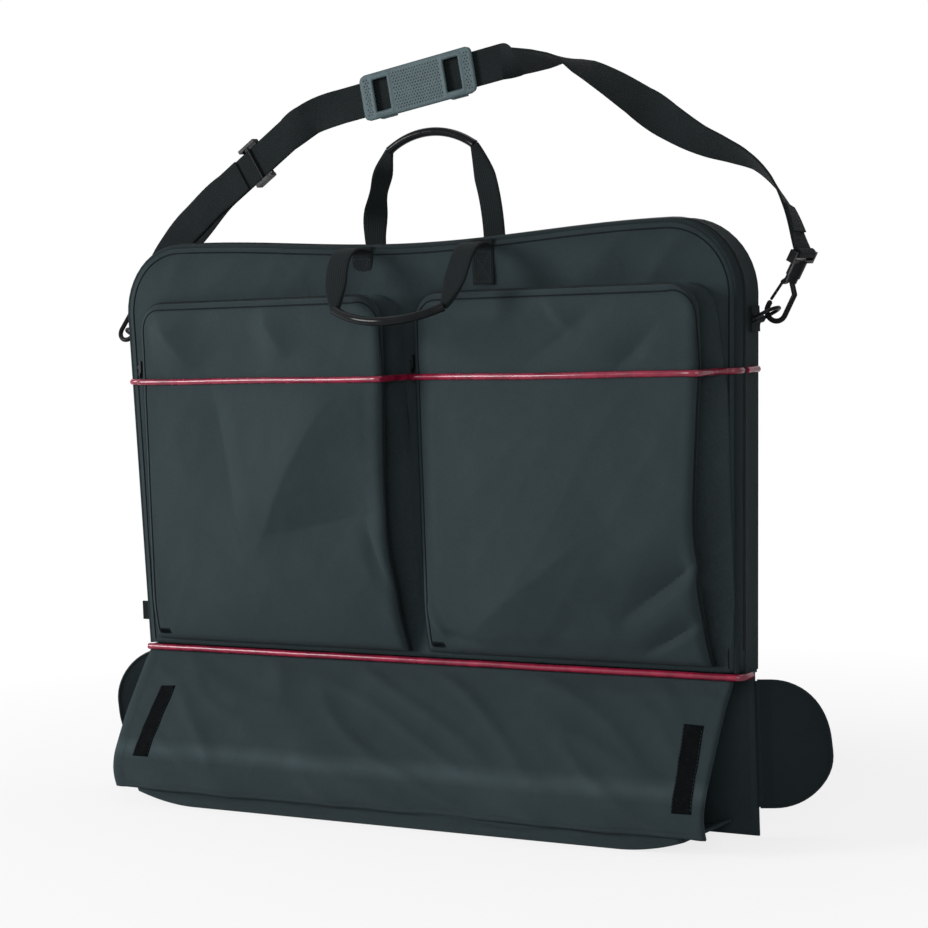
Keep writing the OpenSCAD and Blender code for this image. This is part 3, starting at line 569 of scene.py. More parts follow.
# Hook-and-loop strips: two lengths of black 20 mm tape, sewn on the sleeve's cover near its ends,
# that take the ends of the flaps. The tape is a dense mat of tiny stiff hooks with a plain edge.
hook_tape, wire = new_finish("black_hook_tape")
mat = wire.node("TexVoronoi", sockets={"Vector": wire.node("TexCoord", out="Object"), "Scale": 1100.0})
lint = speckle(wire, 160.0, 4.0)
close_finish(wire, {
    "Base Color": (lint.ramp((0.5, 0.0), (0.8, 1.0)) * 0.6 + mat * 0.5).tint(
        (0.0012, 0.0016, 0.0018), (0.008, 0.010, 0.011)),
    "Roughness": 0.75 + lint * 0.2, "Specular IOR Level": 0.03}, 1 - mat, 0.0009)
tape_w, tape_l = 20, 90
# Each strip's ends as shares of the way down the cover, from the top, and their X, from the foot.
strip_s = {"left": (0.27, 0.75), "right": (0.30, 0.82)}
strip_x = {"left": (-311.5, -302.5), "right": (325.8, 320.4)}
for end in ("left", "right"):
    def on_strip(x, v, out, end=end):
        (top, foot), (foot_x, top_x) = strip_s[end], strip_x[end]
        return cover_point(foot_x + (top_x - foot_x) * v + x, foot + (top - foot) * v, out)

    def strip_place(u, v):
        lip = 0.5 if abs(u - 0.5) > 0.42 or abs(v - 0.5) > 0.485 else 1.3
        return on_strip((u - 0.5) * tape_w, v, lining_t / 2 + lip)

    put("strip_" + end + "_tape", cloth_grid(20, 60, strip_place, (tape_w, tape_l)), hook_tape, "bag",
        "hook_strip", "strip_" + end, thick=1.2, offset=-1)
    seam("strip_" + end + "_stitches", "bag", [
        [Vector(on_strip(side * 9.2, i / 30, 2.3)) for i in range(1, 30)] for side in (-1, 1)],
        cover_out, "hook_strip")

# End flaps: two rounded tongues of unlined cloth, sewn to the ends of the back beside the sleeve, to
# be wrapped forward on to the strips. Their free edge is bound with a narrow tape; the right one
# hangs back and the left one a little forward.
flap_l, flap_h, flap_r = 68, 120, 55
flap_x, flap_y, flap_z = 348.9, 57.5, 28
flap_cloth = polyester("flap_polyester", (0.0085, 0.0125, 0.0138), (0.0225, 0.0325, 0.0355), 0.70)


def flap_point(side, d, z, lean):
    """Place on a flap at a distance from its seam, curling a little more towards its end."""
    share = d / flap_l
    turn = math.radians(lean * (0.86 + 0.2 * share))
    ripple = 2.4 * share * math.sin((z - flap_z) / 24 + side)
    ripple += 1.6 * share * math.sin(z / 13 + 3 * share)
    return Vector((side * (flap_x + d * math.cos(turn)), flap_y + d * math.sin(turn) + ripple,
                   z - 2.0 * share * share))


def flap_trim(d):
    """How much the round corners take off the flap's height at a distance from its seam."""
    over = max(0.0, d - (flap_l - flap_r))
    return flap_r - math.sqrt(max(0.0, flap_r ** 2 - over ** 2))


reach = [(flap_l - flap_r) * i / 6 for i in range(6)]
reach += [flap_l - flap_r + flap_r * math.sin(math.radians(6 * i)) for i in range(16)]
for side, end, lean in ((-1, "left", -25), (1, "right", 25)):
    def flap_place(u, v, side=side, lean=lean, reach=reach):
        d = reach[round(u * (len(reach) - 1))]
        trim = flap_trim(d)
        return flap_point(side, d, flap_z + trim + (flap_h - 2 * trim) * v, lean)

    flap = put("end_flap_" + end + "_cloth",
               cloth_grid(len(reach) - 1, 40, flap_place, (flap_l, flap_h)), flap_cloth,
               "flap_" + end, "bag_fabric", "end_flap_" + end, thick=1.6)
    edge = [flap_point(side, d, flap_z + flap_trim(d), lean) for d in reach]
    edge += [flap_point(side, flap_l, flap_z + flap_r + (flap_h - 2 * flap_r) * i / 6, lean)
             for i in range(1, 6)]
    edge += [flap_point(side, d, flap_z + flap_h - flap_trim(d), lean) for d in reach[::-1]]
    binding = put("flap_" + end + "_binding", swept(edge, [along_y] * len(edge), round_outline(1.7, 8)),
                  flap_cloth, "flap_" + end, "bag_fabric")
    root = [flap_point(side, 0, flap_z + flap_h * i / 12, lean) for i in range(13)]
    hinge = put("flap_" + end + "_seam", swept(root, [along_y] * len(root), round_outline(2.6, 12)),
                flap_cloth, "flap_" + end, "bag_fabric")

# Front cover: the padded front of the zipped compartment, with its own narrow gusset and a covered
# piping cord round the edge. It opens about the lower seam once the zip is undone.
hinge_z = 162
cover_z = hinge_z - 0.5


def panel_y(x, z):
    """Depth of the front panel's middle face, flat at its edges and slack between them."""
    edge = share_of((half_low - 1 - abs(x)) / 30, (crown - z - sag(x)) / 26, (z - hinge_z) / 30)
    return front_y + wall / 2 - edge * (1.2 + 0.9 * folds(x, z, 21.0, 1.2, 1.6))


def front_place(u, v):
    x, z = panel_point(u, v, hinge_z, panel_inset)
    return x, panel_y(x, z), z


put("front_panel_cloth", cloth_grid(110, 90, front_place, (720, crown - hinge_z)), bag_cloth,
    "front_cover", "bag_fabric", "front_panel", thick=panel_t)
put("gusset_front_cloth", gusset(front_y + edge_gap, zip_y - zip_gap, cover_z), shaded_edge_cloth,
    "front_cover", "bag_fabric", "gusset_front", thick=wall, offset=-1)
edge_piping("piping_front_cord", "front_cover", "piping_front", front_y + piping_inset, cover_z)
# Dark thread for the sunk seams: its colour is partly thread and partly painted shade of the groove.
thread_and_groove_shade, wire = new_finish("thread_and_groove_shade")
twist = speckle(wire, 700.0, 2.0)
close_finish(wire, {"Base Color": twist.tint((0.004, 0.005, 0.006), (0.014, 0.018, 0.020)),
                    "Roughness": 0.6 + twist * 0.2, "Specular IOR Level": 0.03}, twist, 0.0001)


def sewn_line(name, body, line, outline):
    """A sunk line of close stitches, drawn as a thin dark cord: thread, and painted shade of the
    groove.
    """
    put(name, swept(line, [along_y] * len(line), outline), thread_and_groove_shade, body, "bag_fabric")


panel_seam_inset = 9.5
sewn_line("front_panel_seam", "front_cover", [Vector((p.x, panel_y(p.x, p.z) - wall / 2, p.z))
                                              for p in rim(panel_seam_inset, hinge_z + 4)],
          round_outline(0.8, 6))

# Main zip: two rows of black moulded teeth that meet along the gusset, round three sides of the bag.
# Each row is sewn on its own tape, one to the rear gusset and one to the front one.
zip_plastic, wire = new_finish("black_zip_plastic")
scuff = speckle(wire, 260.0, 5.0)
close_finish(wire, {
    "Base Color": scuff.tint((0.004, 0.005, 0.0055), (0.014, 0.017, 0.018)),
    "Roughness": 0.34 + scuff.ramp((0.45, 0.0), (0.75, 1.0)) * 0.3,
    "Specular IOR Level": 0.12}, scuff, 0.00008)
tooth, tooth_pitch = (2.7, 1.7, 1.5), 2.4
zip_foot, proud = low + 20, 0.5
for body, node, y, shift in (("bag", "zip_row_back", zip_y + 1.5, 0.0),
                             ("front_cover", "zip_row_front", zip_y - 1.5, tooth_pitch / 2)):
    bm = bmesh.new()
    for place, run in evenly(rim(-proud, zip_foot, y), tooth_pitch):
        out = Vector((run.z, 0, -run.x))
        beads(bm, [(place + run * shift, along_y)], out, tooth)
    put(node + "_teeth", bm, zip_plastic, body, "zip_black", node, crease=60)

# Pockets: two bellows pockets side by side on the front, deep at their right edges. Each has a slack
# front of the same polyester, a wall round it that folds in a little, and a zip round the mouth.
pocket_z, pocket_top, pocket_w, pocket_r = 168, 526, 329, 30
pocket_x0 = {"left": -334, "right": 13}
# Depths at the left edge, at the right edge and at the lower right corner, and where that draw ends.
pocket_d1, pocket_d2, pocket_d3, pocket_draw = 14, 49, 16, 122
# The rolled edge's radius, each front's swell, and how far its right edge is drawn in below waist_z.
roll_r, pocket_crown, pocket_waist = 9, {"left": 3.0, "right": 14.0}, {"left": 5, "right": 14}
waist_z, waist_h = 450, 230
# How far a pocket's right wall spreads at the panel, and the height below which it does.
pocket_splay, splay_z = 8, {"left": up - 30, "right": pocket_top - pocket_r}
# Points along a side, a corner and the top of the outline, and where its right side starts.
side_steps, bend_steps, top_steps = 50, 10, 44
right_bend = side_steps + bend_steps + top_steps - 1
right_side = right_bend + bend_steps
edge_count = right_side + side_steps
# Each fold runs from one place to another, with the widths of its two sides and its height.
pocket_folds = {
    "left": [((-163, 280), (-66, 418), 125, 80, 25.0), ((-159, 284), (-12, 312), 42, 48, -12.0),
             ((-233, 433), (-199, 300), 30, 62, -8.0), ((-307, 516), (-264, 466), 52, 40, 13.0),
             ((-156, 516), (-128, 476), 36, 30, 11.0), ((-34, 292), (-10, 224), 12, 16, -8.0)],
    "right": [((96, 206), (213, 282), 78, 56, 14.0), ((258, 220), (340, 276), 46, 16, -16.0),
              ((262, 177), (328, 213), 18, 8, -8.0), ((19, 290), (198, 292), 10, 18, 2.4),
              ((20, 218), (38, 190), 9, 9, 6.0), ((38, 190), (70, 181), 9, 9, -6.0),
              ((142, 448), (234, 505), 40, 22, -8.0), ((254, 446), (296, 484), 24, 16, -8.0),
              ((176, 516), (204, 488), 28, 10, 6.0)]}


def fold(x, z, start, end, left, right, height):
    """Relief of one fold, with a slack side and a steep one, that dies away past its ends."""
    (x0, z0), (x1, z1) = start, end
    length = math.hypot(x1 - x0, z1 - z0)
    along = ((x - x0) * (x1 - x0) + (z - z0) * (z1 - z0)) / length ** 2
    off = ((x - x0) * (z1 - z0) - (z - z0) * (x1 - x0)) / length
    fade = math.sin(math.pi * share_of((along + 0.25) / 1.5))
    return height * fade * max(0.0, 1 - abs(off) / (right if off > 0 else left)) ** 1.4


def pocket_face(end, x, z):
    """Depth of a pocket's slack front: it slants to the right and draws in at the lower right."""
    d = min(max(x - pocket_x0[end], 0), pocket_w)
    share_x, share_z = d / pocket_w, (z - pocket_z) / (pocket_top - pocket_z)
    slant = (pocket_d2 - pocket_d1) * share_x
    foot = ((pocket_d3 - pocket_d1) * share_x
            + (pocket_d2 - pocket_d3) * (z - pocket_z) / pocket_draw)
    soft, hem, crest = 5.0, 26, 0.38
    out = (slant + foot - math.sqrt((slant - foot) ** 2 + soft ** 2) + soft * 0.6) / 2
    held = share_of(d / hem, (pocket_w - d) / hem, (z - pocket_z) / 22, (pocket_top - z) / hem)
    off_crest = (share_x - crest) / (1 - crest if share_x > crest else crest)
    bulge = pocket_crown[end] * (1 - off_crest ** 2) * math.sin(math.pi * share_of(share_z)) ** 0.6
    under = 5.5 * max(0.0, 1 - (z - pocket_z) / 45) ** 1.4
    pinned = max(0.0, 1 - abs(z - up) / 20) ** 2
    relief = folds(x, z, 31.0 if end == "left" else 47.0, 0.8, 0.5)
    relief += sum(fold(x, z, *one) for one in pocket_folds[end])
    return (front_y - pocket_d1 - out + under
            - held * (bulge + relief * (1 - 0.8 * pinned) - 2.0 * pinned - 1.0))


def waist(end, z):
    """How far a pocket's right edge is drawn in below its mouth."""
    return pocket_waist[end] * math.sin(math.pi / 2 * share_of((waist_z - z) / waist_h))


def pocket_edge(end, inset):
    """A pocket's outline from its lower left corner round the top to its lower right one."""
    x0, x1 = pocket_x0[end] + inset, pocket_x0[end] + pocket_w - inset
    r, foot, top = pocket_r - inset, pocket_z + inset, pocket_top - inset
    bends = [math.radians(10 * i) for i in range(bend_steps)]
    sides = [foot + (top - r - foot) * i / side_steps for i in range(side_steps)]
    line = [(x0, z) for z in sides]
    line += [(x0 + r - r * math.cos(a), top - r + r * math.sin(a)) for a in bends]
    line += [(x0 + r + (x1 - x0 - 2 * r) * i / top_steps, top) for i in range(1, top_steps)]
    line += [(x1 - r + r * math.sin(a), top - r + r * math.cos(a)) for a in bends]
    line += [(x1 - waist(end, z), z) for z in sides[::-1]]
    return line


def outward(line, i):
    """Direction away from a pocket at a place of its outline."""
    ahead, behind = line[min(i + 1, len(line) - 1)], line[max(i - 1, 0)]
    return Vector((behind[1] - ahead[1], 0, ahead[0] - behind[0])).normalized()


def pocket_rim(end, turn, lift=0.0):
    """A line round a pocket on its rolled edge, at a turn from the front towards the wall."""
    turn = math.radians(turn)
    line = pocket_edge(end, roll_r * (1 - math.sin(turn)))
    return [Vector((x, pocket_face(end, x, z) + roll_r * (1 - math.cos(turn)), z))
            + (outward(line, i) * math.sin(turn) - along_y * math.cos(turn)) * lift
            for i, (x, z) in enumerate(line)]


def smooth_line(points, rounds=2):
    """Takes the corners off a line of points, as a cord does where it bends."""
    for _ in range(rounds):
        cut = [points[0]]
        for a, b in zip(points, points[1:]):
            cut += [a.lerp(b, 0.25), a.lerp(b, 0.75)]
        points = cut + [points[-1]]
    return points


def seam_and_shade_outline(share):
    """Section of the front's seam, drawn thicker along the right edge as painted shade where the front
    meets the wall.
    """
    return round_outline(0.85 + 0.75 * share_of(share * 5 - 3.4), 6)


wall_w, front_t = 45, 1.8
# How far round the rolled edge the seam lies: along the top, and what is added along the right edge.
seam_turn, seam_more, seam_steps = 8, 64, 16
# The pocket walls' cloth has painted shade under the pocket's rolled edge and painted light towards the
# panel.
shaded_wall_cloth = polyester("pocket_wall_polyester_painted_shade", (0.0055, 0.0080, 0.0090), (0.0460, 0.0660, 0.0725),
                       cloth_rough, painted_shade_w=wall_w * mm)
small_tooth, small_pitch = (1.7, 1.4, 1.2), 1.9
roll_gaps = [roll_r * (1 - math.cos(math.radians(15 * i))) for i in range(7)]
pocket_columns = [gap / pocket_w for gap in roll_gaps]
pocket_columns += [(roll_r + (pocket_w - 2 * roll_r) * i / 110) / pocket_w for i in range(1, 110)]
pocket_columns += [1 - gap / pocket_w for gap in roll_gaps[::-1]]
pocket_rows = [pocket_z + gap for gap in roll_gaps]
pocket_rows += [pocket_z + roll_r + (pocket_top - pocket_r - pocket_z - roll_r) * i / 100
                for i in range(1, 100)]
pocket_rows += sorted([pocket_top - pocket_r * (1 - math.sin(math.radians(6 * i))) for i in range(11)]
                      + [pocket_top - gap for gap in roll_gaps])
for end in ("left", "right"):
    x0, x1 = pocket_x0[end], pocket_x0[end] + pocket_w

    def front(u, v, end=end, x0=x0, x1=x1):
        z = pocket_rows[round(v * (len(pocket_rows) - 1))]
        over = max(0.0, z - (pocket_top - pocket_r))
        trim = pocket_r - math.sqrt(max(0.0, pocket_r ** 2 - over ** 2))
        drawn = waist(end, z)
        column = pocket_columns[round(u * (len(pocket_columns) - 1))]
        x = x0 + trim + (pocket_w - 2 * trim - drawn) * column
        rim_gap = min(x - x0 - trim, x1 - trim - drawn - x, z - pocket_z, pocket_top - z)
        if over and (x < x0 + pocket_r or x > x1 - pocket_r):
            side = x0 + pocket_r if x < x0 + pocket_r else x1 - pocket_r
            rim_gap = pocket_r - math.hypot(x - side, over)
        back = max(0.0, roll_r - max(0.0, rim_gap))
        return x, pocket_face(end, x, z) + roll_r - math.sqrt(max(0.0, roll_r ** 2 - back ** 2)), z

    put("pocket_" + end + "_front",
        cloth_grid(len(pocket_columns) - 1, len(pocket_rows) - 1, front,
                   (pocket_w, pocket_top - pocket_z)),
        bag_cloth, "front_cover", "bag_fabric", "pocket_" + end, thick=front_t)

    line = pocket_edge(end, 0)
    line += [(line[-1][0] + (x0 - line[-1][0]) * i / 40, pocket_z) for i in range(1, 41)]

    def bellows(u, v, end=end, line=line):
        i = round(v * (len(line) - 1))
        x, z = line[i]
        lip = pocket_face(end, x, z) + roll_r - 0.5
        depth = max(0.0, front_y - lip)
        tuck = 0.17 * depth * math.sin(math.pi * u ** 1.8) ** 2
        tuck += 1.2 * math.sin(math.pi * u) * noise.noise(Vector((x / 40, u * 3, z / 40)))
        if z < pocket_z + 4:
            tuck = 0
        spread = 0
        if right_side <= i < edge_count:
            spread = pocket_splay * (1 - u) ** 2.2 * share_of(depth / 25, (splay_z[end] - z) / 70)
            spread += waist(end, z) * (1 - u)
        return Vector((x + spread, front_y + min(0.0, lip - front_y) * u, z)) - outward(line, i) * tuck

    put("pocket_" + end + "_wall", cloth_grid(14, len(line) - 1, bellows, (wall_w, 1380)), shaded_wall_cloth,
        "front_cover", "bag_fabric", thick=front_t, offset=-1)

    shares = [share_of((i - right_bend) / seam_steps) for i in range(edge_count)]
    turns = [seam_turn + round(seam_more * math.sin(math.pi / 2 * share)) for share in shares]
    rims = {turn: pocket_rim(end, turn, 0.9) for turn in set(turns)}
    sewn_line("pocket_" + end + "_seam", "front_cover",
              smooth_line([rims[turn][i] for i, turn in enumerate(turns)], 1), seam_and_shade_outline)
    sewn_line("pocket_" + end + "_pleat", "front_cover",
              [p for p in pocket_rim(end, 62, 0.8)[:side_steps + bend_steps] if p.z < up + 6],
              round_outline(0.85, 6))
    tack = [(x0 + 9 + 14 * i / 12, pocket_z + 7 + 4 * (i % 2)) for i in range(13)]
    sewn_line("pocket_" + end + "_bartack", "front_cover",
              [Vector((x, pocket_face(end, x, z) - 0.9, z)) for x, z in tack], round_outline(1.3, 6))
    bm = bmesh.new()
    for turn, shift in ((56, 0.0), (68, 0.5)):
        line = [p for p in pocket_rim(end, turn, 1.0) if p.z > up + 5]
        for place, run in evenly(line, small_pitch):
            across = Vector((-run.z, 0, run.x)) - along_y * 0.5
            upright = (across - run * across.dot(run)).cross(run).normalized()
            beads(bm, [(place + run * shift, upright)], across.normalized(), small_tooth)
    put("pocket_" + end + "_teeth", bm, zip_plastic, "front_cover", "zip_black", crease=60)

# Red pipings: a glossy red vinyl cord with a sewn flange. One is sewn across the whole front over
# both pockets and goes on round the gusset, and one covers the lower seam above the sleeve.
red_vinyl, wire = new_finish("red_vinyl_cord")
grime = speckle(wire, 60.0, 5.0)
grain = speckle(wire, 700.0, 2.0)
close_finish(wire, {
    "Base Color": grime.ramp((0.3, 0.0), (0.65, 1.0)).tint((0.13, 0.005, 0.020), (0.25, 0.010, 0.038)),
    "Roughness": 0.22 + grime * 0.10, "Coat Weight": 0.35, "Coat Roughness": 0.08,
    "Specular IOR Level": 0.22}, grain, 0.00003)
cord_r, cord_step = 3.2, 3.0


def red_cord(name, body, node, points):
    """A round cord along a line of points, in short even steps."""
    line = [points[0]] + [place for place, _ in evenly(points, cord_step)] + [points[-1]]
    put(name, swept(line, [along_z if abs((b - a).z) < 0.7 * (b - a).length else along_y
                           for a, b in zip(line, line[1:] + [line[-1] * 2 - line[-2]])],
                    round_outline(cord_r, 12)), red_vinyl, body, "piping_red", node)


# The cord's depth on the panel, and where it stops before and behind the zip.
cord_y, stop_front, stop_rear = 10.4, 22.1, 31.9
side_x = half_width(up) - 0.6
path = [Vector((-side_x, stop_front, up)), Vector((-side_x, cord_y, up))]
for end in ("left", "right"):
    x0, x1 = pocket_x0[end], pocket_x0[end] + pocket_w
    path += [Vector((x0 - 3, cord_y, up)), Vector((x0 - 3, pocket_face(end, x0, up) - 1, up))]
    path += [Vector((x, pocket_face(end, x, up) - 2.4, up + 0.3 * math.sin(x / 37)))
             for x in (x0 + 2 + (pocket_w - 4) * i / 50 for i in range(51))]
    path += [Vector((x1 + 3, pocket_face(end, x1, up) - 1, up)), Vector((x1 + 3, cord_y, up))]
path += [Vector((side_x, cord_y, up)), Vector((side_x, stop_front, up))]
red_cord("piping_upper_cord", "front_cover", "piping_upper", smooth_line(path))
for side, end in ((-1, "left"), (1, "right")):
    red_cord("piping_upper_rear_" + end + "_cord", "bag", "piping_upper_rear_" + end,
             [Vector((side * side_x, y, up)) for y in (stop_rear, 40, 48, back_y - piping_inset)])
lower_x, lower_z, lower_bend = 349, low - 1.8, 8
path = [Vector((x, front_y - lower_bend / 2, lower_z + 0.4 * noise.noise(Vector((x / 60, 2, 0)))))
        for x in range(1 - lower_x, lower_x + 1, 3)]
path += [Vector((lower_x, front_y + lower_bend / 2, lower_z))
         + Vector((math.sin(a), -math.cos(a), 0)) * lower_bend
         for a in (math.radians(15 * i) for i in range(1, 7))]
path += [Vector((lower_x + lower_bend, front_y + y, lower_z)) for y in (8, 12, 16)]
red_cord("piping_lower_cord", "bag", "piping_lower", path)

# Handle patches: short lengths of 25 mm black webbing, sewn flat on the front and on the back with a
# box of stitches and a cross in it, where the legs of the handles come out of the seam.
webbing, wire = new_finish("black_webbing")
flat = wire.node("SeparateXYZ", sockets={0: wire.node("TexCoord", out="UV")})
wide, long = flat, flat.other("Y")
fuzz = speckle(wire, 380.0, 3.0)
shade = speckle(wire, 24.0, 4.0)
warp_w, pick_w = 0.0016, 0.0013
warp = (wide * (math.pi / warp_w)).sine()
cords = abs(warp)
picks = (long * (2 * math.pi / pick_w) + warp * 1.2).sine()
close_finish(wire, {
    "Base Color": (cords * 0.35 + picks * 0.14 + fuzz * 0.3 + shade * 0.35).tint(
        (0.0045, 0.006, 0.0065), (0.0150, 0.0195, 0.021)),
    "Roughness": 0.68 + fuzz * 0.2, "Sheen Weight": 0.02, "Sheen Roughness": 0.4,
    "Specular IOR Level": 0.05}, cords + picks * 0.35, 0.0003)
web_w, web_t = 25, 3
front_seam_x, rear_seam_x, leg_gap, seam_z = 19, 1, 71, 569
patch_l, patch_out, box_half = 44, 1.6, 9.5


def flat_outline(width, thick, steps=6):
    """Section of webbing: flat faces and rounded selvedges."""
    half, r = width / 2 - thick / 2, thick / 2
    face = [-half + 2 * half * i / steps for i in range(steps + 1)]
    ends = [math.radians(a) for a in (-54, -18, 18, 54)]
    selvedge = [(half + r * math.cos(a), r * math.sin(a)) for a in ends]
    return ([(x, -r) for x in face] + selvedge + [(x, r) for x in face[::-1]]
            + [(-x, -y) for x, y in selvedge])


for body, tag, x_mid, y, out in (("front_cover", "front", front_seam_x, front_y - patch_out, -1),
                                 ("bag", "rear", rear_seam_x, back_y + patch_out, 1)):
    for side, end in ((-1, "left"), (1, "right")):
        x = x_mid + side * leg_gap
        top = crown - sag(x) - 2
        line = [Vector((x, y, top - patch_l + patch_l * i / 12)) for i in range(13)]
        put(tag + "_patch_" + end + "_web", swept(line, [Vector((-out, 0, 0))] * len(line),
            flat_outline(web_w, web_t)), webbing, body, "webbing", tag + "_patch_" + end)
        x0, x1, z0, z1 = x - box_half, x + box_half, top - 41, top - 12
        box = [(x0, z0), (x1, z0), (x1, z1), (x0, z1), (x0, z0)]
        cross = [[(x0, z0), (x1, z1)], [(x0, z1), (x1, z0)]]
        seam(tag + "_patch_" + end + "_stitches", body,
             [[Vector((a, y + out * 1.7, b)) for a, b in line] for line in [box] + cross],
             Vector((0, out, 0)), "webbing", 3.2)

# Grab handles: two loops of the same webbing. Each leg is flat at its seam and gathers into the end
# of a glossy tube that makes the grip. The front one has fallen forward over the pockets, and its
# legs bend where they leave the seam; the rear one stands up, with its left leg twisted.
handle_l, grip_d, bend_l, leg_out, leg_steps = 119, 12, 25, 5.3, 24
tube_plastic, wire = new_finish("glossy_tube")
smear = speckle(wire, 90.0, 5.0)
close_finish(wire, {
    "Base Color": smear.tint((0.002, 0.0025, 0.003), (0.008, 0.010, 0.011)),
    "Roughness": 0.11 + smear.ramp((0.4, 0.0), (0.8, 1.0)) * 0.14, "Coat Weight": 0.08,
    "Coat Roughness": 0.06, "Specular IOR Level": 0.06}, smear, 0.0001)


def leg_outline(share):
    """The leg's section: flat webbing that folds together towards the tube."""
    gathered_w, gathered_t = 9.5, 6.5
    gather = max(0.0, (share - 0.68) / 0.32) ** 1.2
    return flat_outline(web_w + (gathered_w - web_w) * gather, web_t + (gathered_t - web_t) * gather)


def tube_outline(share):
    """The tube's section, with a small lip at each end."""
    lip = 0.35 * max(0.0, 1 - min(share, 1 - share) / 0.05)
    return round_outline(grip_d / 2 - 1.6 + lip, 20)


# Each handle's seam, lean from upright, length, half the tube's span, its rise and its slip sideways.
for tag, body, x_mid, y, lean, loop_l, half, rise, skew in (
        ("front", "front_handle", front_seam_x, front_y - leg_out, math.radians(128), handle_l,
         63, 20, 12),
        ("rear", "rear_handle", rear_seam_x, back_y + leg_out, 0.0, handle_l + 6, 51, 16, 0)):
    spread = Vector((1, 0, 0))
    reach = Vector((0, -math.sin(lean), math.cos(lean)))
    face = spread.cross(reach)
    root = Vector((x_mid, y, seam_z))
    bow = -19.0 if tag == "front" else 2.0

    def handle_point(x, l, out=0.0, root=root, reach=reach, face=face, slip=skew / loop_l):
        return root + Vector((x + slip * l, 0, 0)) + reach * l + face * out

    far = loop_l - grip_d / 2 - rise
    for side, end in ((-1, "left"), (1, "right")):
        line = []
        for i in range(leg_steps + 1):
            t = i / leg_steps
            x = side * (leg_gap + (half - leg_gap) * t ** 1.6 + 3.0 * math.sin(math.pi * t))
            line.append(handle_point(x, far * t, bow * math.sin(math.pi * t ** 0.65) ** 1.4))
        slew = math.radians(78) if (tag, end) == ("rear", "left") else 0
        turns = [slew * math.sin(math.pi * (i / leg_steps) ** 1.4) ** 2 for i in range(leg_steps + 1)]
        turned = [Matrix.Rotation(turn, 3, reach) @ spread for turn in turns]
        held = body
        if tag == "front":
            held = ("front_cover", body, root * mm, (root + reach * bend_l) * mm)
        put(tag + "_handle_leg_" + end, swept(line, turned, leg_outline), webbing, held,
            "webbing", *([tag + "_handle_web"] if end == "left" else []))
    arc_r = (half ** 2 + rise ** 2) / (2 * rise)
    arc = [math.asin(half / arc_r) * (i / leg_steps * 2 - 1) for i in range(leg_steps + 1)]
    line = [handle_point(arc_r * math.sin(a), far + rise - arc_r + arc_r * math.cos(a)) for a in arc]
    put(tag + "_handle_tube", swept(line, [face] * len(line), tube_outline), tube_plastic, body, "grip",
        tag + "_handle_grip")

# Ring tabs: short folds of 19 mm webbing that hold a ring on each side, sewn to the rear gusset, and
# a small folded loop of webbing low on the left side.
ring_x, ring_y, ring_z = 365.84, 45.4, 490
sewn_x, round_r = 363.1, 3.05
folded = [(sewn_x, -12), (sewn_x, -8), (sewn_x + 0.3, -5)]
folded += [(ring_x + round_r * math.cos(a), round_r * math.sin(a))
           for a in (math.radians(18 * i - 108) for i in range(13))]
folded += [(sewn_x + 0.3, 5), (sewn_x, 8), (sewn_x, 12)]
for side, end in ((-1, "left"), (1, "right")):
    line = [Vector((side * x, ring_y, ring_z + z)) for x, z in folded]
    put("ring_tab_" + end + "_web", swept(line, [along_y] * len(line), flat_outline(19, 1.6)), webbing,
        "bag", "webbing", "ring_tab_" + end)
tab_z, tab_y, tab_l = low + 33, zip_y + 9, 24
tab_x = 1 - half_width(tab_z)
folded = [(tab_x - tab_l * i / 8, -0.8) for i in range(9)]
folded += [(tab_x - tab_l - math.cos(a), math.sin(a))
           for a in (math.radians(30 * i - 60) for i in range(5))]
folded += [(x, 0.8) for x, _ in folded[8::-1]]
line = [Vector((x, tab_y + y, tab_z)) for x, y in folded]
put("side_tab_web", swept(line, [along_z] * len(line), flat_outline(20, 1.3)), webbing, "bag",
    "webbing", "side_tab")

# Shoulder strap: one length of 38 mm webbing from hook to hook. It rises behind the left corner,
# passes through the adjuster and the pad, turns over once and comes down edge-on to the right hook.
strap_w, strap_t, strap_rise, woven_w = 38, 2.2, 166, 35.5
hook_l, loop_r = 69, 4.7
woven = flat_outline(woven_w, strap_t, 10)
hook_up = {"left": Vector((0.36, 0.38, 0.86)).normalized(),
           "right": Vector((math.cos(math.radians(61)), 0, math.sin(math.radians(61))))}
ring_bow = {end: Vector((side * 386.69, ring_y, 499.72)) for side, end in ((-1, "left"), (1, "right"))}
hook_bar = {end: ring_bow[end] + hook_up[end] * (hook_l - 13) for end in ring_bow}


def arch(x, y, z):
    """Place of the strap in shares of half the bag's width, of its own width and of its rise."""
    return Vector((x * half_width(up), back_y + y * strap_w, crown + z * strap_rise))


strap_start = hook_bar["left"] + hook_up["left"] * (loop_r + 0.05)
strap_last = arch(1.108, (ring_y - back_y) / strap_w, 0.03)
strap_end = hook_bar["right"] + (strap_last - hook_bar["right"]).normalized() * (loop_r + 0.05)
pad_mid, pad_dir = arch(-0.011, -0.105, 0.892), Vector((1, 0, 0.154)).normalized()
adjust_mid, adjust_dir = arch(-0.614, 0.237, 0.5), Vector((1, -0.081, 0.6)).normalized()
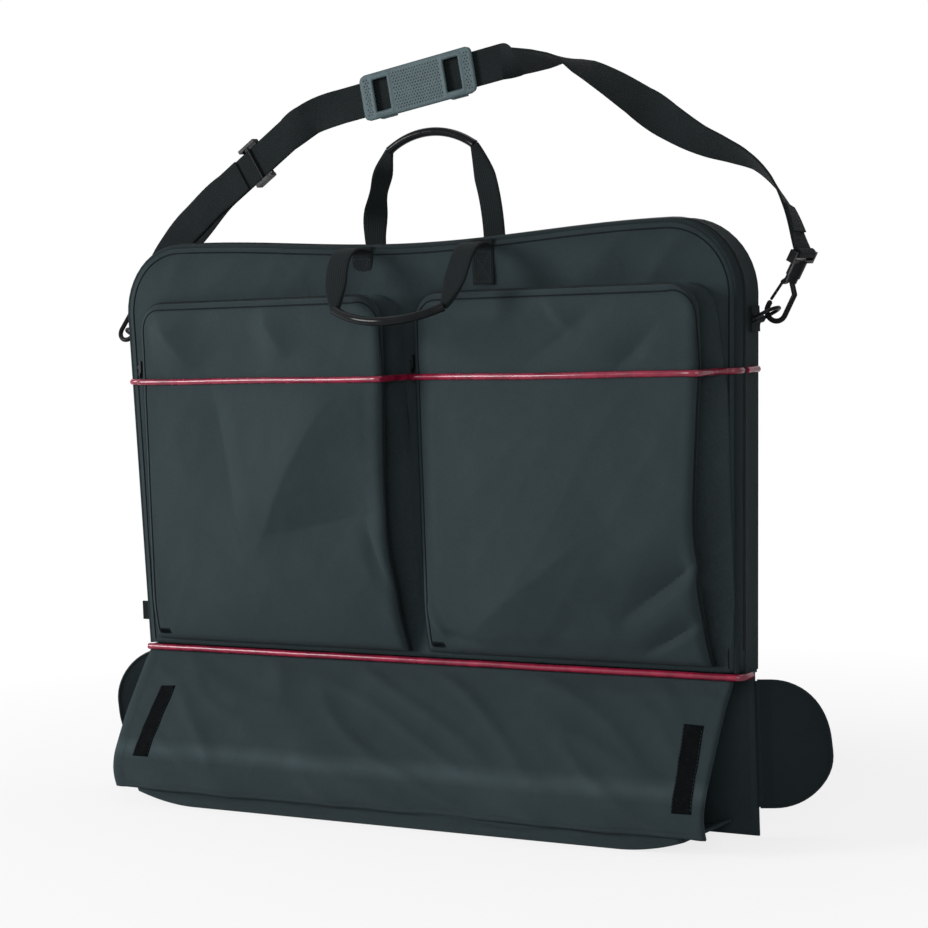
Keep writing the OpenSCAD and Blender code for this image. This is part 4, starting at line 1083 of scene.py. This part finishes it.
# The strap's route from hook to hook, each place with its turn about the run in degrees.
route = [(strap_start, 0), (strap_start + hook_up["left"] * hook_l * 0.217, 0),
         (arch(-0.933, 0.474, -0.006), 0), (arch(-0.856, 0.421, 0.127), 0)]
route += [(adjust_mid + adjust_dir * d, 0) for d in (-51, -46, 46, 51)]
route += [(arch(-0.411, 0.044, 0.741), 34)]
route += [(pad_mid + pad_dir * d, 0) for d in (-97.5, -92.5, 92.5, 97.5)]
route += [(arch(0.31, -0.125, 0.976), 47), (arch(0.384, -0.14, 0.973), 64),
          (arch(0.453, -0.158, 0.966), 87), (arch(0.517, -0.184, 0.906), 112),
          (arch(0.588, -0.184, 0.817), 126),
          (arch(0.680, -0.211, 0.685), 143), (arch(0.773, -0.237, 0.545), 188),
          (arch(0.868, -0.263, 0.429), 213), (arch(0.939, -0.289, 0.367), 228),
          (arch(1.008, -0.316, 0.296), 241), (arch(1.067, -0.329, 0.176), 247), (strap_last, 257),
          (strap_end, 270)]
span_steps = 8


def heading(i):
    """Direction of the strap at a place of its route, which follows the shorter span more."""
    if i == 0:
        return hook_up["left"]
    if i == len(route) - 1:
        return (strap_end - strap_last).normalized()
    back, ahead = route[i][0] - route[i - 1][0], route[i + 1][0] - route[i][0]
    return (back * (ahead.length / back.length) + ahead * (back.length / ahead.length)).normalized()


def strap_run(first, last):
    """Points of the strap between two of its route's places, with its sideways directions."""
    points, turns = [], []
    for i in range(first, last):
        (a, turn_a), (b, turn_b) = route[i], route[i + 1]
        span = (b - a).length
        for step in range(span_steps + (i == last - 1)):
            t = step / span_steps
            points.append(a * (2 * t ** 3 - 3 * t * t + 1) + b * (3 * t * t - 2 * t ** 3)
                          + heading(i) * span * (t ** 3 - 2 * t * t + t)
                          + heading(i + 1) * span * (t ** 3 - t * t))
            turns.append(math.radians(turn_a + (turn_b - turn_a) * t))
    sides = []
    for i, turn in enumerate(turns):
        run = run_at(points, i)
        sides.append(Matrix.Rotation(turn, 3, run) @ Vector((-run.z, 0, run.x)).normalized())
    return points, sides


def raised(points, sides, off):
    """The same run lifted off its front face."""
    return [p + run_at(points, i).cross(sides[i]) * off for i, p in enumerate(points)]


points, sides = strap_run(0, len(route) - 1)
put("strap_webbing", swept(points, sides, woven), webbing, "strap", "webbing",
    *("strap_web_" + part for part in ("left", "pad", "twist", "right")))
ply, ply_sides = strap_run(1, 6)
keep, slip = int(span_steps * 4.33) + 1, 8
slipped = [p + side * slip * math.sin(math.pi * min(1.0, i / (3 * span_steps)))
           for i, (p, side) in enumerate(zip(raised(ply, ply_sides, strap_t + 0.2), ply_sides))]
put("strap_ply_webbing", swept(slipped[:keep], ply_sides[:keep], woven), webbing, "strap", "webbing",
    "strap_ply")
for end, start, side in (("left", strap_start, sides[0]), ("right", strap_end, sides[-1])):
    toward = (start - hook_bar[end]).normalized()
    wide = (side - toward * side.dot(toward)).normalized()
    lift = toward.cross(wide)
    line = [hook_bar[end] + (toward * math.cos(a) + lift * math.sin(a)) * (loop_r - strap_t / 2)
            for a in (math.radians(15 * i) for i in range(24))]
    put("strap_loop_" + end + "_webbing", swept(line, [wide] * len(line), woven), webbing, "strap",
        "webbing", "strap_loop_" + end)
tail, tail_sides = points[-span_steps - 1:], sides[-span_steps - 1:]
put("strap_tail_webbing", swept(raised(tail, tail_sides, strap_t + 0.1)[:-3], tail_sides[:-3], woven),
    webbing, "strap", "webbing")
sewn = list(zip(raised(tail, tail_sides, strap_t * 1.5 + 0.2), tail_sides))[2:-4]
seam("strap_tail_stitches", "strap", [[p + side * off for p, side in sewn] for off in (-15, -5, 5, 15)],
     Vector((1, 0, 0)), "webbing")

# Shoulder pad: a plate of moulded blue-grey rubber that slides on the strap. The strap shows in two
# slots with raised lips, the rest is covered with small raised dots, and two bars behind the strap
# keep it on.
pad_l, pad_w, pad_t, pad_r = 137, 47, 4.5, 7
pad_top = 1.5 + pad_t
slot_x, slot_l, slot_w = 43, 18, 34
pad_up = Vector((-pad_dir.z, 0, pad_dir.x))
pad_out = pad_dir.cross(pad_up)
rubber, wire = new_finish("blue_grey_rubber")
dust = speckle(wire, 75.0, 6.0)
pore = speckle(wire, 1500.0, 2.0)
close_finish(wire, {
    "Base Color": (dust * 0.8 + pore * 0.2).tint((0.032, 0.050, 0.056), (0.086, 0.126, 0.136)),
    "Roughness": 0.48 + dust * 0.2, "Specular IOR Level": 0.2}, pore * 0.5 + dust, 0.0002)


def slot_gap(x, y):
    """How far a place of the pad lies outside the nearer slot."""
    return max(abs(abs(x) - slot_x) - slot_l / 2, abs(y) - slot_w / 2)


def pad_place(u, v):
    """Place on the pad's face: round corners, a soft edge, and a raised lip round each slot."""
    y = (v - 0.5) * pad_w
    over = max(0.0, abs(y) - (pad_w / 2 - pad_r))
    half = pad_l / 2 - pad_r + math.sqrt(max(0.0, pad_r ** 2 - over ** 2))
    x = (2 * u - 1) * half
    edge = min(half - abs(x), pad_w / 2 - abs(y))
    height = pad_top - 1.1 * max(0.0, 1 - edge / 2.2) ** 2
    height += 1.0 * max(0.0, 1 - abs(slot_gap(x, y) - 1.6) / 2.2)
    return pad_mid + pad_dir * x + pad_up * y + pad_out * height


bm = cloth_grid(76, 26, pad_place, (pad_l, pad_w))


def pad_spot(face):
    """Where a face of the pad lies along it and across it."""
    away = face.calc_center_median() / mm - pad_mid
    return away.dot(pad_dir), away.dot(pad_up)


cut = [face for face in bm.faces if slot_gap(*pad_spot(face)) < 0]
bmesh.ops.delete(bm, geom=cut, context="FACES")
pad = put("shoulder_pad_rubber", bm, rubber, "pad", "pad_rubber", "shoulder_pad", thick=pad_t,
          offset=-1, crease=50)
frame_turn = Matrix((pad_dir, pad_up, pad_out)).transposed().to_4x4()
dot, dot_pitch, dot_margin = (2.3, 2.3, 1.6), 3.3, 4.4
bm = bmesh.new()
for row in range(-6, 7):
    for column in range(-20, 21):
        x, y = (column + 0.5 * (row % 2)) * dot_pitch, row * dot_pitch * 0.9
        if slot_gap(x, y) > dot_margin and abs(x) < pad_l / 2 - 4.5 and abs(y) < pad_w / 2 - 3.5:
            spot = pad_mid + pad_dir * x + pad_up * y + pad_out * pad_top
            bmesh.ops.create_icosphere(bm, subdivisions=1, radius=0.5 * mm, matrix=(
                Matrix.Translation(spot * mm) @ frame_turn @ Matrix.Diagonal((*dot, 1))))
put("shoulder_pad_dots", bm, rubber, "pad", "pad_rubber", crease=80)
bm = bmesh.new()
clear, half, bar_t = strap_t / 2 + 0.4, strap_w / 2 + 0.4, 2.5
for side in (-1, 1):
    bars = [((side * slot_x, 0, -clear - bar_t / 2), (slot_l, pad_w, bar_t))]
    bars += [((side * slot_x, edge * (half + pad_w / 2) / 2, 0.0),
              (slot_l, pad_w / 2 - half, 2 * clear + 0.6)) for edge in (-1, 1)]
    for spot, size in bars:
        bmesh.ops.create_cube(bm, size=mm, matrix=(
            Matrix.Translation(pad_mid * mm) @ frame_turn @ Matrix.Translation(Vector(spot) * mm)
            @ Matrix.Diagonal((*size, 1))))
bmesh.ops.bevel(bm, geom=bm.edges[:], offset=0.5 * mm, affect="EDGES", segments=2, profile=0.5,
                material=-1)
put("shoulder_pad_keepers", bm, rubber, "pad", "pad_rubber")

# Fittings: the adjuster, the rings and the swivel snap hooks with their sprung gates are moulded in
# hard black plastic. The main zip has a nickel-plated slider and pull, the pocket zips black ones.
hard_plastic, wire = new_finish("hard_black_plastic")
wear = speckle(wire, 140.0, 6.0)
mould = speckle(wire, 1300.0, 2.0)
close_finish(wire, {
    "Base Color": wear.tint((0.002, 0.0026, 0.0030), (0.008, 0.0098, 0.0105)),
    "Roughness": 0.26 + wear.ramp((0.45, 0.0), (0.75, 1.0)) * 0.25,
    "Specular IOR Level": 0.07}, mould, 0.00006)
nickel, wire = new_finish("bright_nickel")
tarnish = speckle(wire, 190.0, 5.0)
close_finish(wire, {
    "Base Color": tarnish.tint((0.42, 0.42, 0.43), (0.78, 0.78, 0.77)),
    "Metallic": 1.0, "Roughness": 0.18 + tarnish * 0.2}, tarnish, 0.00005)


def refinish(finish, *nodes):
    """Gives the solids that show as they are their real finish."""
    for node in nodes:
        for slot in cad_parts[node].material_slots:
            slot.material = finish


refinish(hard_plastic, "adjuster", *(part + "_" + end for end in ("left", "right") for part in
                                     ("ring", "jaw", "gate", "hook_base")))
refinish(zip_plastic, "slider_left", "slider_right", "pull_left", "pull_right")
refinish(nickel, "slider_main", "pull_main")
